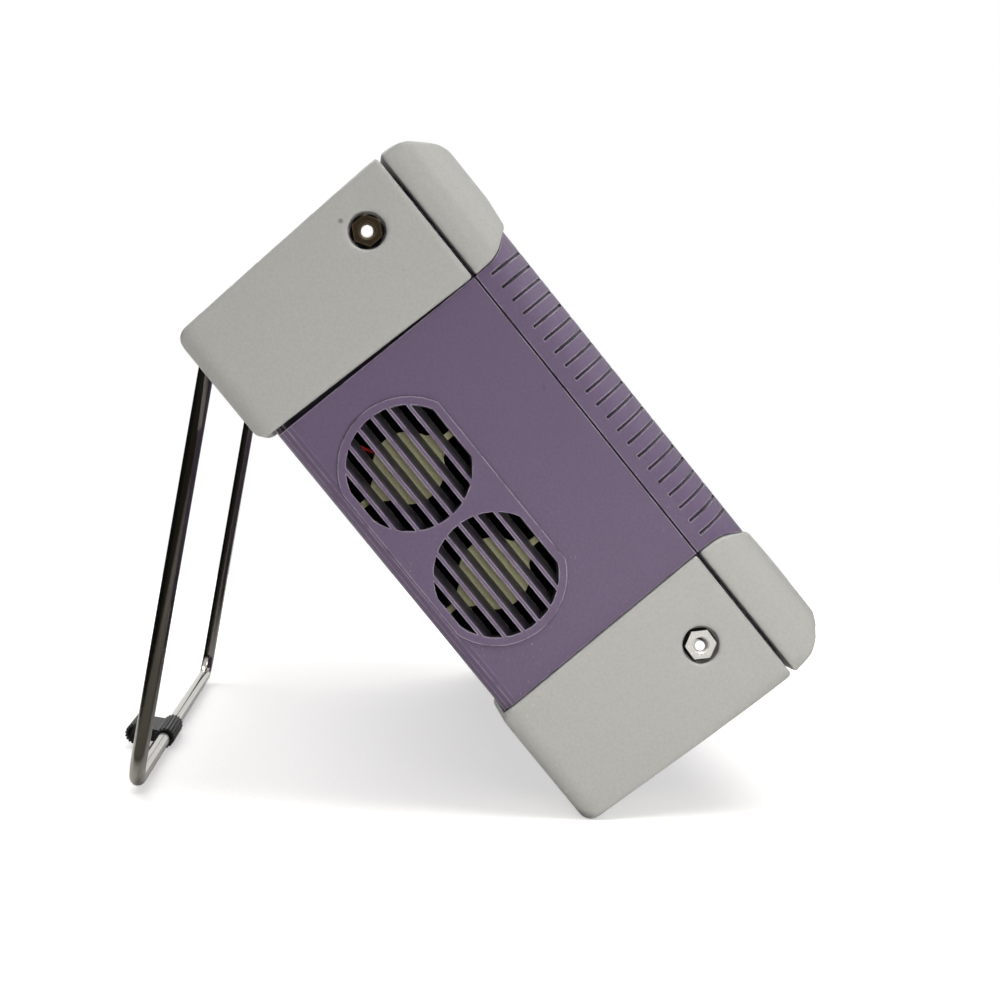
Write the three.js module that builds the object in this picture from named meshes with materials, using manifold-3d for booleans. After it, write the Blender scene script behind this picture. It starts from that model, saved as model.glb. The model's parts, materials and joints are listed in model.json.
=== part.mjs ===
// Portable spectrum analyzer that leans back on a wire bail. Millimetres, +Z up.
// The instrument is built upright: X across, front at -Y, seam between its two shells at y = 0,
// bottom of the bumpers at z = 0. The finished group is then leaned back and stood on the ground.
import * as THREE from 'three';
import { mergeVertices } from 'three/addons/utils/BufferGeometryUtils.js';
import Module from 'manifold-3d';

const wasm = await Module();
wasm.setup();

// Case
const caseWidth = 355;
const caseHeight = 190;
const leanAngle = THREE.MathUtils.degToRad(39.5);
const clearance = 0.3;
const seamGap = 0.3;
const wall = 3;
const halfWidth = caseWidth / 2;

// Rear half
const rearDepth = 71.2;
const rearRecess = 4;
const coreSide = 173.5;
const coreTop = 183.6;
const coreBottom = 6.6;
const panelSide = 176;
const innerSide = 170.5;

// Front half
const frontDepth = 16;
const coreFront = 11.5;
const frontCoreSide = 171;
const gripSideFlat = 4;
const gripRound = 13;
const overlayPocket = 1.5;
const overlayThickness = 1.2;
const frontWall = 2.5;

// Bumpers: how far each reaches along the case, and its own outline
const bumperReach = 40;
const bumperGap = 0.6;
const upperRearDepth = 76.2;
const lowerRearDepth = 73.3;
const upperFrontDepth = 18.5;
const lowerFrontDepth = 17.5;
const topFall = 4.1;
const bottomRise = 5.4;
const upperEdge = 146.8;
const upperEdgeRise = 1.6;
const lowerEdge = 45.3;
const frontEdgeFlare = 5.8;
const frontEdgeBend = 8.5;
const centreHalf = halfWidth - bumperReach;

// Grip ribs
const grooveCount = 21;
const groovePitch = 4.74;
const grooveMiddle = 96.7;
const grooveWidth = 1;
const grooveDepth = 0.8;

// Threaded hexagonal inserts in the bumpers
const insertRecessRadius = 5.4;
const insertRecessDepth = 3;
const insertFlats = 8;
const insertBore = 2.1;
const insertLength = 8;
const insertProud = 2.4;
const insertPlaces = { top: [15.6, 175.4], bottom: [15.8, 24.5] };

// Vents and fans in the left side
const ventY = 48.5;
const ventCentres = { upper: 116.4, lower: 77.4 };
const ventRadius = 17.9;
const ventRear = 65.6;
const ventFront = 32.8;
const barCount = 6;
const barPitch = 5.06;
const barWidth = 1;
const firstBarY = 37.55;
const barSlant = 0.36;
const padRadius = 20.2;
const padFront = 30.5;
const padRear = 67.7;
const padHeight = 0.6;
const fanSize = 38;
const fanDepth = 10;
const fanOuterX = -170.2;
const fanHubRadius = 10.5;

// Bail
const wireRadius = 2.45;
const pivotY = 72.6;
const pivotZ = 180.4;
const legX = 132.5;
const legSplay = THREE.MathUtils.degToRad(9.6);
const bendRadius = 9;
const pinBend = 5;
const pinEnd = 118;
const sleeveRadius = 3.7;
const sleeveLength = 33;
const sleeveX = -33;
const barrelSpacing = 10;

// Front panel
const panelHalf = 133;
const panelLow = 24;
const panelHigh = 168;
const windowEdge = 16;
const screen = { left: -125, right: 8, low: 47, high: 149 };
const keyTravel = 0.8;
const keyProud = 2.2;
const knobPlace = [104, 144];
const knobRadius = 14;

const colours = {
  purple: 0x5d5069,
  bumper: 0xa9aaa4,
  black: 0x141416,
  nickel: 0xc9c9c4,
  bronze: 0x5c4a30,
  wire: 0x26241f,
  khaki: 0x8c8a5e,
  glass: 0x1c2a33,
  overlay: 0x35323d,
  board: 0x1f5a3a,
  keyGrey: 0x8f9091,
};

// ---------- building blocks ----------

function material(colour, roughness = 0.6, metalness = 0) {
  return new THREE.MeshStandardMaterial({ color: colour, roughness, metalness });
}

function solid(geometry) {
  const bare = geometry.clone();
  bare.deleteAttribute('normal');
  bare.deleteAttribute('uv');
  const merged = mergeVertices(bare, 1e-4);
  const vertProperties = new Float32Array(merged.attributes.position.array);
  const triVerts = new Uint32Array(merged.index.array);
  return new wasm.Manifold(new wasm.Mesh({ numProp: 3, vertProperties, triVerts }));
}

function surface(shape) {
  const { vertProperties, triVerts } = shape.getMesh();
  const geometry = new THREE.BufferGeometry();
  geometry.setAttribute('position', new THREE.BufferAttribute(vertProperties, 3));
  geometry.setIndex(new THREE.BufferAttribute(triVerts, 1));
  geometry.computeVertexNormals();
  return geometry;
}

function cutAll(shape, cutters) {
  return cutters.reduce((rest, cutter) => rest.subtract(cutter), shape);
}

function joinAll(shapes) {
  return shapes.reduce((whole, shape) => whole.add(shape));
}

function block([x0, x1], [y0, y1], [z0, z1]) {
  const geometry = new THREE.BoxGeometry(x1 - x0, y1 - y0, z1 - z0);
  geometry.translate((x0 + x1) / 2, (y0 + y1) / 2, (z0 + z1) / 2);
  return solid(geometry);
}

// An outline whose corners are [a, b, radius]; each corner becomes a tangent arc of a few steps.
function rounded(corners, steps = 4) {
  const points = [];
  corners.forEach(([a, b, radius = 0], index) => {
    const here = new THREE.Vector2(a, b);
    if (radius === 0) {
      points.push(here);
      return;
    }
    const before = new THREE.Vector2(...corners.at(index - 1));
    const after = new THREE.Vector2(...corners[(index + 1) % corners.length]);
    const back = before.sub(here).normalize();
    const ahead = after.sub(here).normalize();
    const half = Math.acos(THREE.MathUtils.clamp(back.dot(ahead), -1, 1)) / 2;
    const centre = here.clone().addScaledVector(back.clone().add(ahead).normalize(), radius / Math.sin(half));
    const start = here.clone().addScaledVector(back, radius / Math.tan(half)).sub(centre);
    const sweep = (Math.PI - 2 * half) * Math.sign(ahead.cross(back));
    for (let step = 0; step <= steps; step += 1) {
      points.push(start.clone().rotateAround(new THREE.Vector2(), (sweep * step) / steps).add(centre));
    }
  });
  return points;
}

// Prisms: an outline in the other two axes, pushed from one station to another.
const prismAxes = {
  x: [[0, 1, 0], [0, 0, 1], [1, 0, 0]],
  y: [[1, 0, 0], [0, 0, 1], [0, -1, 0]],
  z: [[1, 0, 0], [0, 1, 0], [0, 0, 1]],
};

function prism(axis, points, [from, to]) {
  const depth = to - from;
  const geometry = new THREE.ExtrudeGeometry(new THREE.Shape(points), { depth, bevelEnabled: false });
  geometry.translate(0, 0, axis === 'y' ? -to : from);
  const [u, v, w] = prismAxes[axis].map((row) => new THREE.Vector3(...row));
  return solid(geometry.applyMatrix4(new THREE.Matrix4().makeBasis(u, v, w)));
}

function circle([a, b], radius, sides) {
  return Array.from({ length: sides }, (_, index) => {
    const angle = ((index + 0.5) / sides) * 2 * Math.PI;
    return new THREE.Vector2(a + radius * Math.cos(angle), b + radius * Math.sin(angle));
  });
}

function rod(axis, centre, radius, span, sides = 16) {
  return prism(axis, circle(centre, radius, sides), span);
}

// A turned piece: profile points are [radius, height] and the height runs along +Z of its own frame.
function turned(profile, sides) {
  const geometry = new THREE.LatheGeometry(profile.map(([r, h]) => new THREE.Vector2(r, h)), sides);
  return solid(geometry.rotateX(Math.PI / 2));
}

function moved(shape, x, y, z, turnX = 0) {
  const geometry = surface(shape).rotateX(turnX).translate(x, y, z);
  return solid(geometry);
}

const instrument = new THREE.Group();

function addPart(name, shape, finish, parent = instrument) {
  const mesh = new THREE.Mesh(surface(shape), finish);
  mesh.name = name;
  parent.add(mesh);
  return mesh;
}

// ---------- bumpers ----------

const levels = ['top', 'bottom'];
const sides = { left: -1, right: 1 };

function rearBumperSide(level) {
  if (level === 'top') {
    return rounded([
      [bumperGap, caseHeight, 0.8],
      [bumperGap, upperEdge, 0.5],
      [upperRearDepth, upperEdge + upperEdgeRise, 3.5],
      [upperRearDepth, caseHeight - topFall, 4],
    ]);
  }
  return rounded([
    [bumperGap, lowerEdge, 0.5],
    [bumperGap, 0, 0.8],
    [lowerRearDepth, bottomRise, 3],
    [lowerRearDepth, lowerEdge, 3],
  ]);
}

function frontBumperSide(level) {
  if (level === 'top') {
    return rounded([
      [-bumperGap, caseHeight, 0.8],
      [-7, caseHeight - 0.4, 12],
      [-upperFrontDepth, caseHeight - 9.4, 9],
      [-upperFrontDepth, upperEdge + 18, 20],
      [-frontDepth - 0.4, upperEdge + frontEdgeFlare, 1],
      [-frontEdgeBend, upperEdge + 0.3, 12],
      [-bumperGap, upperEdge],
    ]);
  }
  return rounded([
    [-bumperGap, lowerEdge],
    [-frontEdgeBend, lowerEdge - 0.3, 12],
    [-frontDepth - 0.4, lowerEdge - frontEdgeFlare, 1],
    [-lowerFrontDepth, 20, 20],
    [-lowerFrontDepth, 8.8, 4],
    [-9.5, 2, 14],
    [-bumperGap, 0, 0.8],
  ]);
}

// The outline of a bumper seen from above: square at the seam, rounded where it turns the corner.
function bumperPlan(side, depth, cornerRadius) {
  const away = Math.sign(depth);
  const inner = side * centreHalf;
  const outer = side * halfWidth;
  return rounded([
    [outer, away * bumperGap, 0.6],
    [outer, depth, cornerRadius],
    [inner, depth, 2],
    [inner, away * bumperGap, 0.6],
  ], 5);
}

function bumperFace(side, level) {
  const inner = side * centreHalf;
  const outer = side * halfWidth;
  const [edge, end] = level === 'top' ? [caseHeight / 2, caseHeight] : [caseHeight / 2, 0];
  return rounded([[inner, edge], [outer, edge], [outer, end, 4], [inner, end, 2]]);
}

function between(side, from, to) {
  return side < 0 ? [-to, -from] : [from, to];
}

function bumper(side, level, sideOutline, depth, cornerRadius) {
  const across = between(side, centreHalf, halfWidth);
  const along = prism('x', sideOutline, across);
  const plan = prism('z', bumperPlan(side, depth, cornerRadius), [-1, caseHeight + 1]);
  const face = prism('y', bumperFace(side, level), [-upperRearDepth, upperRearDepth]);
  return along.intersect(plan).intersect(face);
}

function insertRecess(side, level) {
  const [y, z] = insertPlaces[level];
  const recessSpan = between(side, halfWidth - insertRecessDepth, halfWidth + 1);
  const through = rod('x', [y, z], insertFlats / 2 + 0.9, between(side, coreSide - 8, halfWidth), 6);
  const recess = rod('x', [y, z], insertRecessRadius, recessSpan, 20);
  return through.add(recess);
}

const rearCorePlan = (grow) => rounded([
  [-coreSide - grow, seamGap],
  [coreSide + grow, seamGap],
  [coreSide + grow, rearDepth + grow, 3],
  [-coreSide - grow, rearDepth + grow, 3],
], 3);

function rearCore(grow) {
  return prism('z', rearCorePlan(grow), [coreBottom - grow, coreTop + grow]);
}

function frontCore(grow) {
  const reach = frontCoreSide + grow;
  return block([-reach, reach], [-coreFront - grow, -seamGap], [coreBottom + 2 - grow, coreTop - 2 + grow]);
}

function addBumpers() {
  const rubber = material(colours.bumper, 0.75);
  const rearInside = rearCore(clearance).add(block([-coreSide, coreSide], [0, 2], [coreBottom, coreTop]));
  const frontInside = frontCore(clearance).add(block([-frontCoreSide, frontCoreSide], [-2, 0], [10, 180]));
  for (const [sideName, side] of Object.entries(sides)) {
    for (const level of levels) {
      const rearReach = level === 'top' ? upperRearDepth : lowerRearDepth;
      const frontReach = level === 'top' ? upperFrontDepth : lowerFrontDepth;
      const rear = bumper(side, level, rearBumperSide(level), rearReach, 5);
      const cut = cutAll(rear, [rearInside, insertRecess(side, level)]);
      addPart(`rear_bumper_${level}_${sideName}`, cut, rubber);
      const front = bumper(side, level, frontBumperSide(level), -frontReach, 14);
      addPart(`front_bumper_${level}_${sideName}`, front.subtract(frontInside), rubber);
    }
  }
}

// ---------- threaded inserts ----------

function addInserts() {
  const finishes = { top: material(colours.bronze, 0.45, 0.8), bottom: material(colours.nickel, 0.3, 1) };
  for (const [sideName, side] of Object.entries(sides)) {
    for (const level of levels) {
      const [y, z] = insertPlaces[level];
      const cornerRadius = insertFlats / Math.sqrt(3);
      const outer = halfWidth - insertRecessDepth + insertProud;
      const hex = rod('x', [y, z], cornerRadius, between(side, outer - insertLength, outer), 6);
      const bore = rod('x', [y, z], insertBore, between(side, outer - 6, outer + 1), 12);
      addPart(`thread_insert_${level}_${sideName}`, hex.subtract(bore), finishes[level]);
    }
  }
}

// ---------- rear shell ----------

function ventOutline(centreZ) {
  const disc = rod('x', [ventY, centreZ], ventRadius, [-180, -160], 36);
  return disc.intersect(block([-180, -160], [ventFront, ventRear], [0, caseHeight]));
}

function ventOpening(centreZ) {
  const bars = Array.from({ length: barCount }, (_, index) => ventBar(firstBarY + index * barPitch));
  return cutAll(ventOutline(centreZ), bars);
}

// Each bar leans towards the front as it goes in, so it hides part of the fan behind it.
function ventBar(faceY) {
  const faceX = -panelSide - padHeight;
  const edge = (x, half) => new THREE.Vector2(x, faceY + half - barSlant * (x - faceX));
  const half = barWidth / 2;
  const outline = [edge(-182, -half), edge(-158, -half), edge(-158, half), edge(-182, half)];
  return prism('z', outline, [0, caseHeight]);
}

function ventPad() {
  const { upper, lower } = ventCentres;
  const across = [-panelSide - padHeight, -panelSide + 1];
  const discs = [upper, lower].map((z) => rod('x', [ventY, z], padRadius, across, 40));
  const middle = block(across, [padFront, padRear], [lower, upper]);
  const limit = block([-panelSide - 2, -panelSide + 2], [padFront, padRear], [0, caseHeight]);
  return joinAll([...discs, middle]).intersect(limit);
}

function airSlots() {
  return Array.from({ length: 8 }, (_, index) => {
    const y = 32 + index * 4.4;
    return block([innerSide - 2, 180], [y, y + 2.4], [70, 122]);
  });
}

const topSockets = [
  { name: 'reference_socket', x: 26, radius: 6.2 },
  { name: 'rf_output', x: 62, radius: 8.2 },
  { name: 'rf_input', x: 104, radius: 8.2 },
];
const socketY = 36;
const dcPlace = [-46, 6];
const lanPlace = [-84, 8.6];
const doorHalf = [52, 26];
const doorZ = 76;
const bossPlaces = [[-128, 26], [128, 26], [-128, 164], [128, 164]];

function rearShellOuter() {
  const panelPlan = rounded([
    [-panelSide, seamGap],
    [panelSide, seamGap],
    [panelSide, rearDepth, 4.5],
    [-panelSide, rearDepth, 4.5],
  ]);
  const sidePanels = prism('z', panelPlan, [lowerEdge + clearance, upperEdge - clearance]);
  const recess = block([-centreHalf + 0.5, centreHalf - 0.5], [rearDepth - rearRecess, 90], [-1, caseHeight]);
  return rearCore(0).add(sidePanels).add(ventPad()).subtract(recess);
}

function rearShell() {
  const backInside = rearDepth - rearRecess - wall;
  const inside = [coreBottom + wall, coreTop - wall];
  const rebate = block([-coreSide + 1.2, coreSide - 1.2], [0, 1.6], [coreBottom + 1.2, coreTop - 1.2]);
  const cavity = block([-innerSide, innerSide], [0, backInside], inside);
  const cheeks = Object.values(sides).map((side) => (
    block(between(side, centreHalf + wall, innerSide), [0, rearDepth - wall], inside)
  ));
  const bosses = bossPlaces.map(([x, z]) => rod('y', [x, z], 3.6, [10, backInside + 1], 10));
  const hollow = cutAll(rearShellOuter(), [rebate, cavity, ...cheeks]);
  const holes = [
    ...Object.values(ventCentres).map(ventOpening),
    ...airSlots(),
    ...topSockets.map(({ x, radius }) => rod('z', [x, socketY], radius, [170, 190], 18)),
    rod('z', [dcPlace[0], socketY], dcPlace[1], [170, 190], 16),
    block([lanPlace[0] - lanPlace[1], lanPlace[0] + lanPlace[1]], [socketY - 7.3, socketY + 7.3], [170, 190]),
    block([-doorHalf[0], doorHalf[0]], [backInside - 1, 90], [doorZ - doorHalf[1], doorZ + doorHalf[1]]),
    ...levels.flatMap((level) => Object.values(sides).map((side) => insertSocket(side, level))),
  ];
  return cutAll(joinAll([hollow, ...bosses]), holes);
}

function insertSocket(side, level) {
  const [y, z] = insertPlaces[level];
  const cornerRadius = insertFlats / Math.sqrt(3) + clearance;
  return rod('x', [y, z], cornerRadius, between(side, coreSide - 10, coreSide + 6), 6);
}

// ---------- front shell ----------

function gripPlan(grow, startAngle, endAngle, side) {
  const centreX = -panelSide + gripRound;
  const reachY = frontDepth - gripSideFlat;
  const steps = 8;
  return Array.from({ length: steps + 1 }, (_, index) => {
    const angle = startAngle + ((endAngle - startAngle) * index) / steps;
    const x = centreX - (gripRound + grow) * Math.cos(angle);
    const y = -gripSideFlat - (reachY + grow) * Math.sin(angle);
    return new THREE.Vector2(-side * x, y);
  });
}

function gripBand() {
  const flare = rounded([
    [-seamGap, upperEdge - clearance],
    [-seamGap, lowerEdge + clearance],
    [-frontEdgeBend, lowerEdge + clearance - 0.3, 12],
    [-frontDepth - 0.4, lowerEdge + clearance - frontEdgeFlare],
    [-frontDepth - 0.4, upperEdge - clearance + frontEdgeFlare],
    [-frontEdgeBend, upperEdge - clearance + 0.3, 12],
  ]);
  const left = gripPlan(0, 0, Math.PI / 2, -1);
  const right = gripPlan(0, Math.PI / 2, 0, 1);
  const seamCorners = [new THREE.Vector2(panelSide, -seamGap), new THREE.Vector2(-panelSide, -seamGap)];
  const plan = prism('z', [...left, ...right, ...seamCorners], [0, caseHeight]);
  return plan.intersect(prism('x', flare, [-panelSide - 1, panelSide + 1]));
}

function gripGrooves(side) {
  const end = THREE.MathUtils.degToRad(84);
  const outline = [...gripPlan(2, 0, end, side), ...gripPlan(-grooveDepth, end, 0, side)];
  return Array.from({ length: grooveCount }, (_, index) => {
    const z = grooveMiddle + (index - (grooveCount - 1) / 2) * groovePitch;
    return prism('z', outline, [z - grooveWidth / 2, z + grooveWidth / 2]);
  });
}

const softkeyX = 28;
const softkeys = Array.from({ length: 5 }, (_, index) => ({
  name: `softkey_${index + 1}`, x: softkeyX, z: 138 - index * 20.5, width: 13, height: 9,
}));
const padLabels = ['7', '8', '9', '4', '5', '6', '1', '2', '3', '0', 'point', 'sign'];
const digitKeys = padLabels.map((label, index) => ({
  name: `key_${label}`, x: 60 + (index % 3) * 24, z: 112 - Math.floor(index / 3) * 18, width: 16, height: 11,
}));
const powerKey = { name: 'power_key', x: 122, z: 36, width: 11, height: 9 };
const keys = [...softkeys, ...digitKeys, powerKey];

function keyOutline({ x, z, width, height }, grow, radius) {
  const halfX = width / 2 + grow;
  const halfZ = height / 2 + grow;
  const ways = [[-1, -1], [1, -1], [1, 1], [-1, 1]];
  return rounded(ways.map(([across, up]) => [x + across * halfX, z + up * halfZ, radius]), 2);
}

function keyHoles(span) {
  return keys.map((key) => prism('y', keyOutline(key, 0.4, 1.5), span));
}

function frontShell() {
  const pocketFloor = -frontDepth + overlayPocket;
  const wallInside = pocketFloor + frontWall;
  const bandHalf = centreHalf - 0.5;
  const centreBand = block([-bandHalf, bandHalf], [-frontDepth, -seamGap], [coreBottom, coreTop]);
  const outer = joinAll([frontCore(0), gripBand(), centreBand]);
  const pocket = block([-panelHalf, panelHalf], [-20, pocketFloor], [panelLow, panelHigh]);
  const lowest = coreBottom + 2 + wall;
  const highest = coreTop - 2 - wall;
  const cavity = block([-164, 164], [-coreFront + wall, 1], [lowest, highest]);
  const deepCavity = block([-134, 134], [wallInside, 1], [lowest, highest]);
  const rebate = block([-169.8, 169.8], [-1.6, 1], [coreBottom + 3.2, coreTop - 3.2]);
  const view = block([screen.left, screen.right], [-20, 0], [screen.low, screen.high]);
  const knobHole = rod('y', knobPlace, 3.6, [-20, 0], 16);
  const grooves = Object.values(sides).flatMap(gripGrooves);
  const hollows = [pocket, cavity, deepCavity, rebate, view, knobHole];
  return cutAll(outer, [...hollows, ...keyHoles([-20, 0]), ...grooves]);
}

function addShells() {
  const purple = material(colours.purple, 0.55);
  addPart('rear_shell', rearShell(), purple);
  addPart('front_shell', frontShell(), purple);
  const gasketOuter = block([-169.5, 169.5], [-1.3, 1.3], [coreBottom + 3.5, coreTop - 3.5]);
  const gasketInner = block([-167.5, 167.5], [-2, 2], [coreBottom + 5.5, coreTop - 5.5]);
  addPart('seam_gasket', gasketOuter.subtract(gasketInner), material(colours.black, 0.9));
}

// ---------- front panel, screen and keys ----------

function addFrontPanel() {
  const back = -frontDepth + overlayPocket - clearance;
  const face = [back - overlayThickness, back];
  const low = panelLow + clearance;
  const high = panelHigh - clearance;
  const pane = block([-panelHalf + clearance, windowEdge], face, [low, high]);
  addPart('display_window', pane, material(colours.glass, 0.08));
  const sheet = block([windowEdge + clearance, panelHalf - clearance], face, [low, high]);
  const holes = [...keyHoles([-20, 0]), rod('y', knobPlace, 3.6, [-20, 0], 16)];
  addPart('keypad_overlay', cutAll(sheet, holes), material(colours.overlay, 0.5));
  const lcd = block([-130, 13], [-frontDepth + 4.5, -frontDepth + 11.7], [42, 154]);
  addPart('lcd_module', lcd, material(colours.black, 0.4));
  const board = block([19, 132], [-frontDepth + 7.9, -frontDepth + 9.5], [28, 164]);
  const boardHole = rod('y', knobPlace, 3.6, [-20, 0], 16);
  addPart('keypad_board', board.subtract(boardHole), material(colours.board, 0.5));
}

function addKeys() {
  const finish = material(colours.keyGrey, 0.6);
  const faceY = -frontDepth - keyProud;
  for (const key of keys) {
    const cap = prism('y', keyOutline(key, 0, 1.2), [faceY, -frontDepth + 5.7]);
    const flange = prism('y', keyOutline(key, 1.2, 0), [-frontDepth + 4.5, -frontDepth + 6.3]);
    addPart(key.name, cap.add(flange), finish);
  }
}

function addKnob() {
  const [x, z] = knobPlace;
  const face = frontDepth + 0.6;
  const rim = face + 12;
  const profile = [
    [0, 3.2], [3, 3.2], [3, face], [knobRadius, face],
    [knobRadius, rim - 2], [knobRadius - 1.5, rim], [0, rim],
  ];
  const knob = turned(profile, 28);
  const dimple = rod('y', [x - 8.5, z], 2.6, [-face - 13, -face - 11.2], 12);
  addPart('tuning_knob', moved(knob, x, 0, z, Math.PI / 2).subtract(dimple), material(colours.black, 0.5));
  const encoder = block([x - 6.5, x + 6.5], [-2.9, 3.4], [z - 6.5, z + 6.5]);
  addPart('knob_encoder', encoder, material(colours.nickel, 0.4, 1));
}

// ---------- fans ----------

function addFans() {
  const black = material(colours.black, 0.55);
  const khaki = material(colours.khaki, 0.6);
  const half = fanSize / 2;
  const inner = fanOuterX + fanDepth;
  for (const [name, z] of Object.entries(ventCentres)) {
    const frame = block([fanOuterX, inner], [ventY - half, ventY + half], [z - half, z + half]);
    const tunnel = rod('x', [ventY, z], half - 1.2, [fanOuterX - 1, inner + 1], 28);
    const plate = [fanOuterX, fanOuterX + 1.6];
    const hub = rod('x', [ventY, z], fanHubRadius, plate, 20);
    const strut = block(plate, [ventY - half + 0.5, ventY + half - 0.5], [z - 1.2, z + 1.2]);
    const post = block(plate, [ventY - 1.2, ventY + 1.2], [z - half + 0.5, z + half - 0.5]);
    const axle = rod('x', [ventY, z], 1.5, [fanOuterX + 1, inner - 1.2], 10);
    addPart(`fan_frame_${name}`, joinAll([frame.subtract(tunnel), hub, strut, post, axle]), khaki);
    addPart(`fan_rotor_${name}`, fanRotor(z), black);
  }
}

function fanRotor(z) {
  const front = fanOuterX + 2.2;
  const back = fanOuterX + fanDepth - 0.6;
  const hub = rod('x', [ventY, z], fanHubRadius - 0.5, [front, back], 20);
  const blades = Array.from({ length: 7 }, (_, index) => {
    const geometry = new THREE.BoxGeometry(6.4, 1, fanSize / 2 - 11);
    geometry.rotateZ(THREE.MathUtils.degToRad(35));
    geometry.translate(0, 0, (fanSize / 2 - 2.2 + fanHubRadius - 1.8) / 2);
    geometry.rotateX((index / 7) * 2 * Math.PI);
    geometry.translate((front + back) / 2, ventY, z);
    return solid(geometry);
  });
  const bore = rod('x', [ventY, z], 1.8, [front - 1, back + 1], 10);
  return joinAll([hub, ...blades]).subtract(bore);
}

// ---------- boards, modules and battery ----------

function addInternals() {
  const green = material(colours.board, 0.5);
  const tin = material(colours.nickel, 0.35, 1);
  addPart('main_board', block([-152, 152], [8, 9.6], [18, 172]), green);
  const lid = block([12, 122], [10, 46], [104, 170]);
  const step = block([18, 116], [46, 48], [110, 164]);
  addPart('rf_module', lid.add(step), tin);
  const base = block([-150, -112], [24, 28], [60, 134]);
  const fins = Array.from({ length: 7 }, (_, index) => {
    const x = -150 + index * 6;
    return block([x, x + 2], [27, 60], [60, 134]);
  });
  addPart('heat_sink', joinAll([base, ...fins]), material(colours.nickel, 0.4, 1));
  const packSpan = [doorZ - doorHalf[1] + 2, doorZ + doorHalf[1] - 2];
  const pack = block([-doorHalf[0] + 2, doorHalf[0] - 2], [38, 63.4], packSpan);
  addPart('battery_pack', pack, material(colours.black, 0.6));
  const back = rearDepth - rearRecess;
  const reach = [doorHalf[0] - clearance, doorHalf[1] - clearance];
  const door = block([-reach[0], reach[0]], [back - wall, back], [doorZ - reach[1], doorZ + reach[1]]);
  const finger = block([-12, 12], [back - 1.2, back + 1], [doorZ + reach[1] - 6, doorZ + reach[1] + 1]);
  addPart('battery_door', door.subtract(finger), material(colours.purple, 0.55));
}

// ---------- sockets on the top ----------

function coaxialSocket(threadRadius, height) {
  const flange = threadRadius + 3;
  const bore = threadRadius - 1.6;
  return turned([
    [0, -10], [3, -10], [3, -4], [threadRadius - 0.4, -4], [threadRadius - 0.4, clearance],
    [flange, clearance], [flange, 2.6], [threadRadius, 3.6], [threadRadius, height],
    [bore, height], [bore, 3], [0, 3],
  ], 20);
}

function addSockets() {
  const nickel = material(colours.nickel, 0.3, 1);
  for (const { name, x, radius } of topSockets) {
    const height = radius > 7 ? 17 : 12;
    addPart(name, moved(coaxialSocket(radius - 0.4, height), x, socketY, coreTop), nickel);
  }
  const barrel = turned([
    [0, -9], [5.6, -9], [5.6, clearance], [7, clearance], [7, 1.6],
    [3.2, 1.6], [3.2, -6], [1, -6], [1, 0.6], [0, 0.6],
  ], 16);
  addPart('dc_inlet', moved(barrel, dcPlace[0], socketY, coreTop), material(colours.black, 0.5));
  const [lanX, lanHalf] = lanPlace;
  const side = lanHalf - clearance;
  const body = block([lanX - side, lanX + side], [socketY - 7, socketY + 7], [coreTop - 12, coreTop - 0.4]);
  const mouth = block([lanX - 6, lanX + 6], [socketY - 4, socketY + 4.6], [coreTop - 10.5, coreTop + 1]);
  addPart('lan_socket', body.subtract(mouth), nickel);
}

// ---------- bail ----------

const upAxis = [Math.sin(leanAngle), Math.cos(leanAngle)];

// Height above the ground plane of a point of the upright instrument, before the ground is set.
function leanedHeight(y, z) {
  return -y * upAxis[0] + z * upAxis[1];
}

const footRadius = 3;
const footHeight = leanedHeight(lowerRearDepth - footRadius, bottomRise + footRadius) - footRadius;
const legLength = (leanedHeight(pivotY, pivotZ) - footHeight - sleeveRadius) / Math.cos(legSplay);

// A wire bent round corners [x, y, z, bend radius]; the parameter runs evenly over its stations.
class BentWire extends THREE.Curve {
  constructor(corners, bendSteps) {
    super();
    this.stations = corners.flatMap(([x, y, z, radius = 0], index) => {
      const here = new THREE.Vector3(x, y, z);
      if (radius === 0) {
        return [here];
      }
      const back = new THREE.Vector3(...corners[index - 1]).sub(here).normalize();
      const ahead = new THREE.Vector3(...corners[index + 1]).sub(here).normalize();
      const centre = here.clone().addScaledVector(back, radius).addScaledVector(ahead, radius);
      return Array.from({ length: bendSteps + 1 }, (_, step) => {
        const angle = (step / bendSteps) * (Math.PI / 2);
        const inward = radius * -Math.cos(angle);
        return centre.clone().addScaledVector(ahead, inward).addScaledVector(back, -radius * Math.sin(angle));
      });
    });
  }

  getPoint(t) {
    const place = t * (this.stations.length - 1);
    const index = Math.min(Math.floor(place), this.stations.length - 2);
    return this.stations[index].clone().lerp(this.stations[index + 1], place - index);
  }

  getPointAt(t) {
    return this.getPoint(t);
  }

  getTangentAt(t) {
    return this.getTangent(t);
  }
}

function bailWire() {
  const path = new BentWire([
    [-pinEnd, 0, 0],
    [-legX, 0, 0, pinBend],
    [-legX, 0, -legLength, bendRadius],
    [legX, 0, -legLength, bendRadius],
    [legX, 0, 0, pinBend],
    [pinEnd, 0, 0],
  ], 5);
  const section = new THREE.Shape(circle([0, 0], wireRadius, 10));
  const steps = path.stations.length - 1;
  return solid(new THREE.ExtrudeGeometry(section, { steps, extrudePath: path, bevelEnabled: false }));
}

function bailSleeve() {
  const span = [sleeveX - sleeveLength / 2, sleeveX + sleeveLength / 2];
  const second = [barrelSpacing, -legLength];
  const barrels = [[0, -legLength], second].map((centre) => rod('x', centre, sleeveRadius, span, 20));
  const web = block([span[0] + 2, span[1] - 2], [0, barrelSpacing], [-legLength - 2.2, -legLength + 2.2]);
  const bore = rod('x', [0, -legLength], wireRadius + clearance, [span[0] - 1, span[1] + 1], 16);
  const hollow = rod('x', second, wireRadius, [span[0] - 1, span[1] + 1], 16);
  return cutAll(joinAll([...barrels, web]), [bore, hollow]);
}

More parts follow.
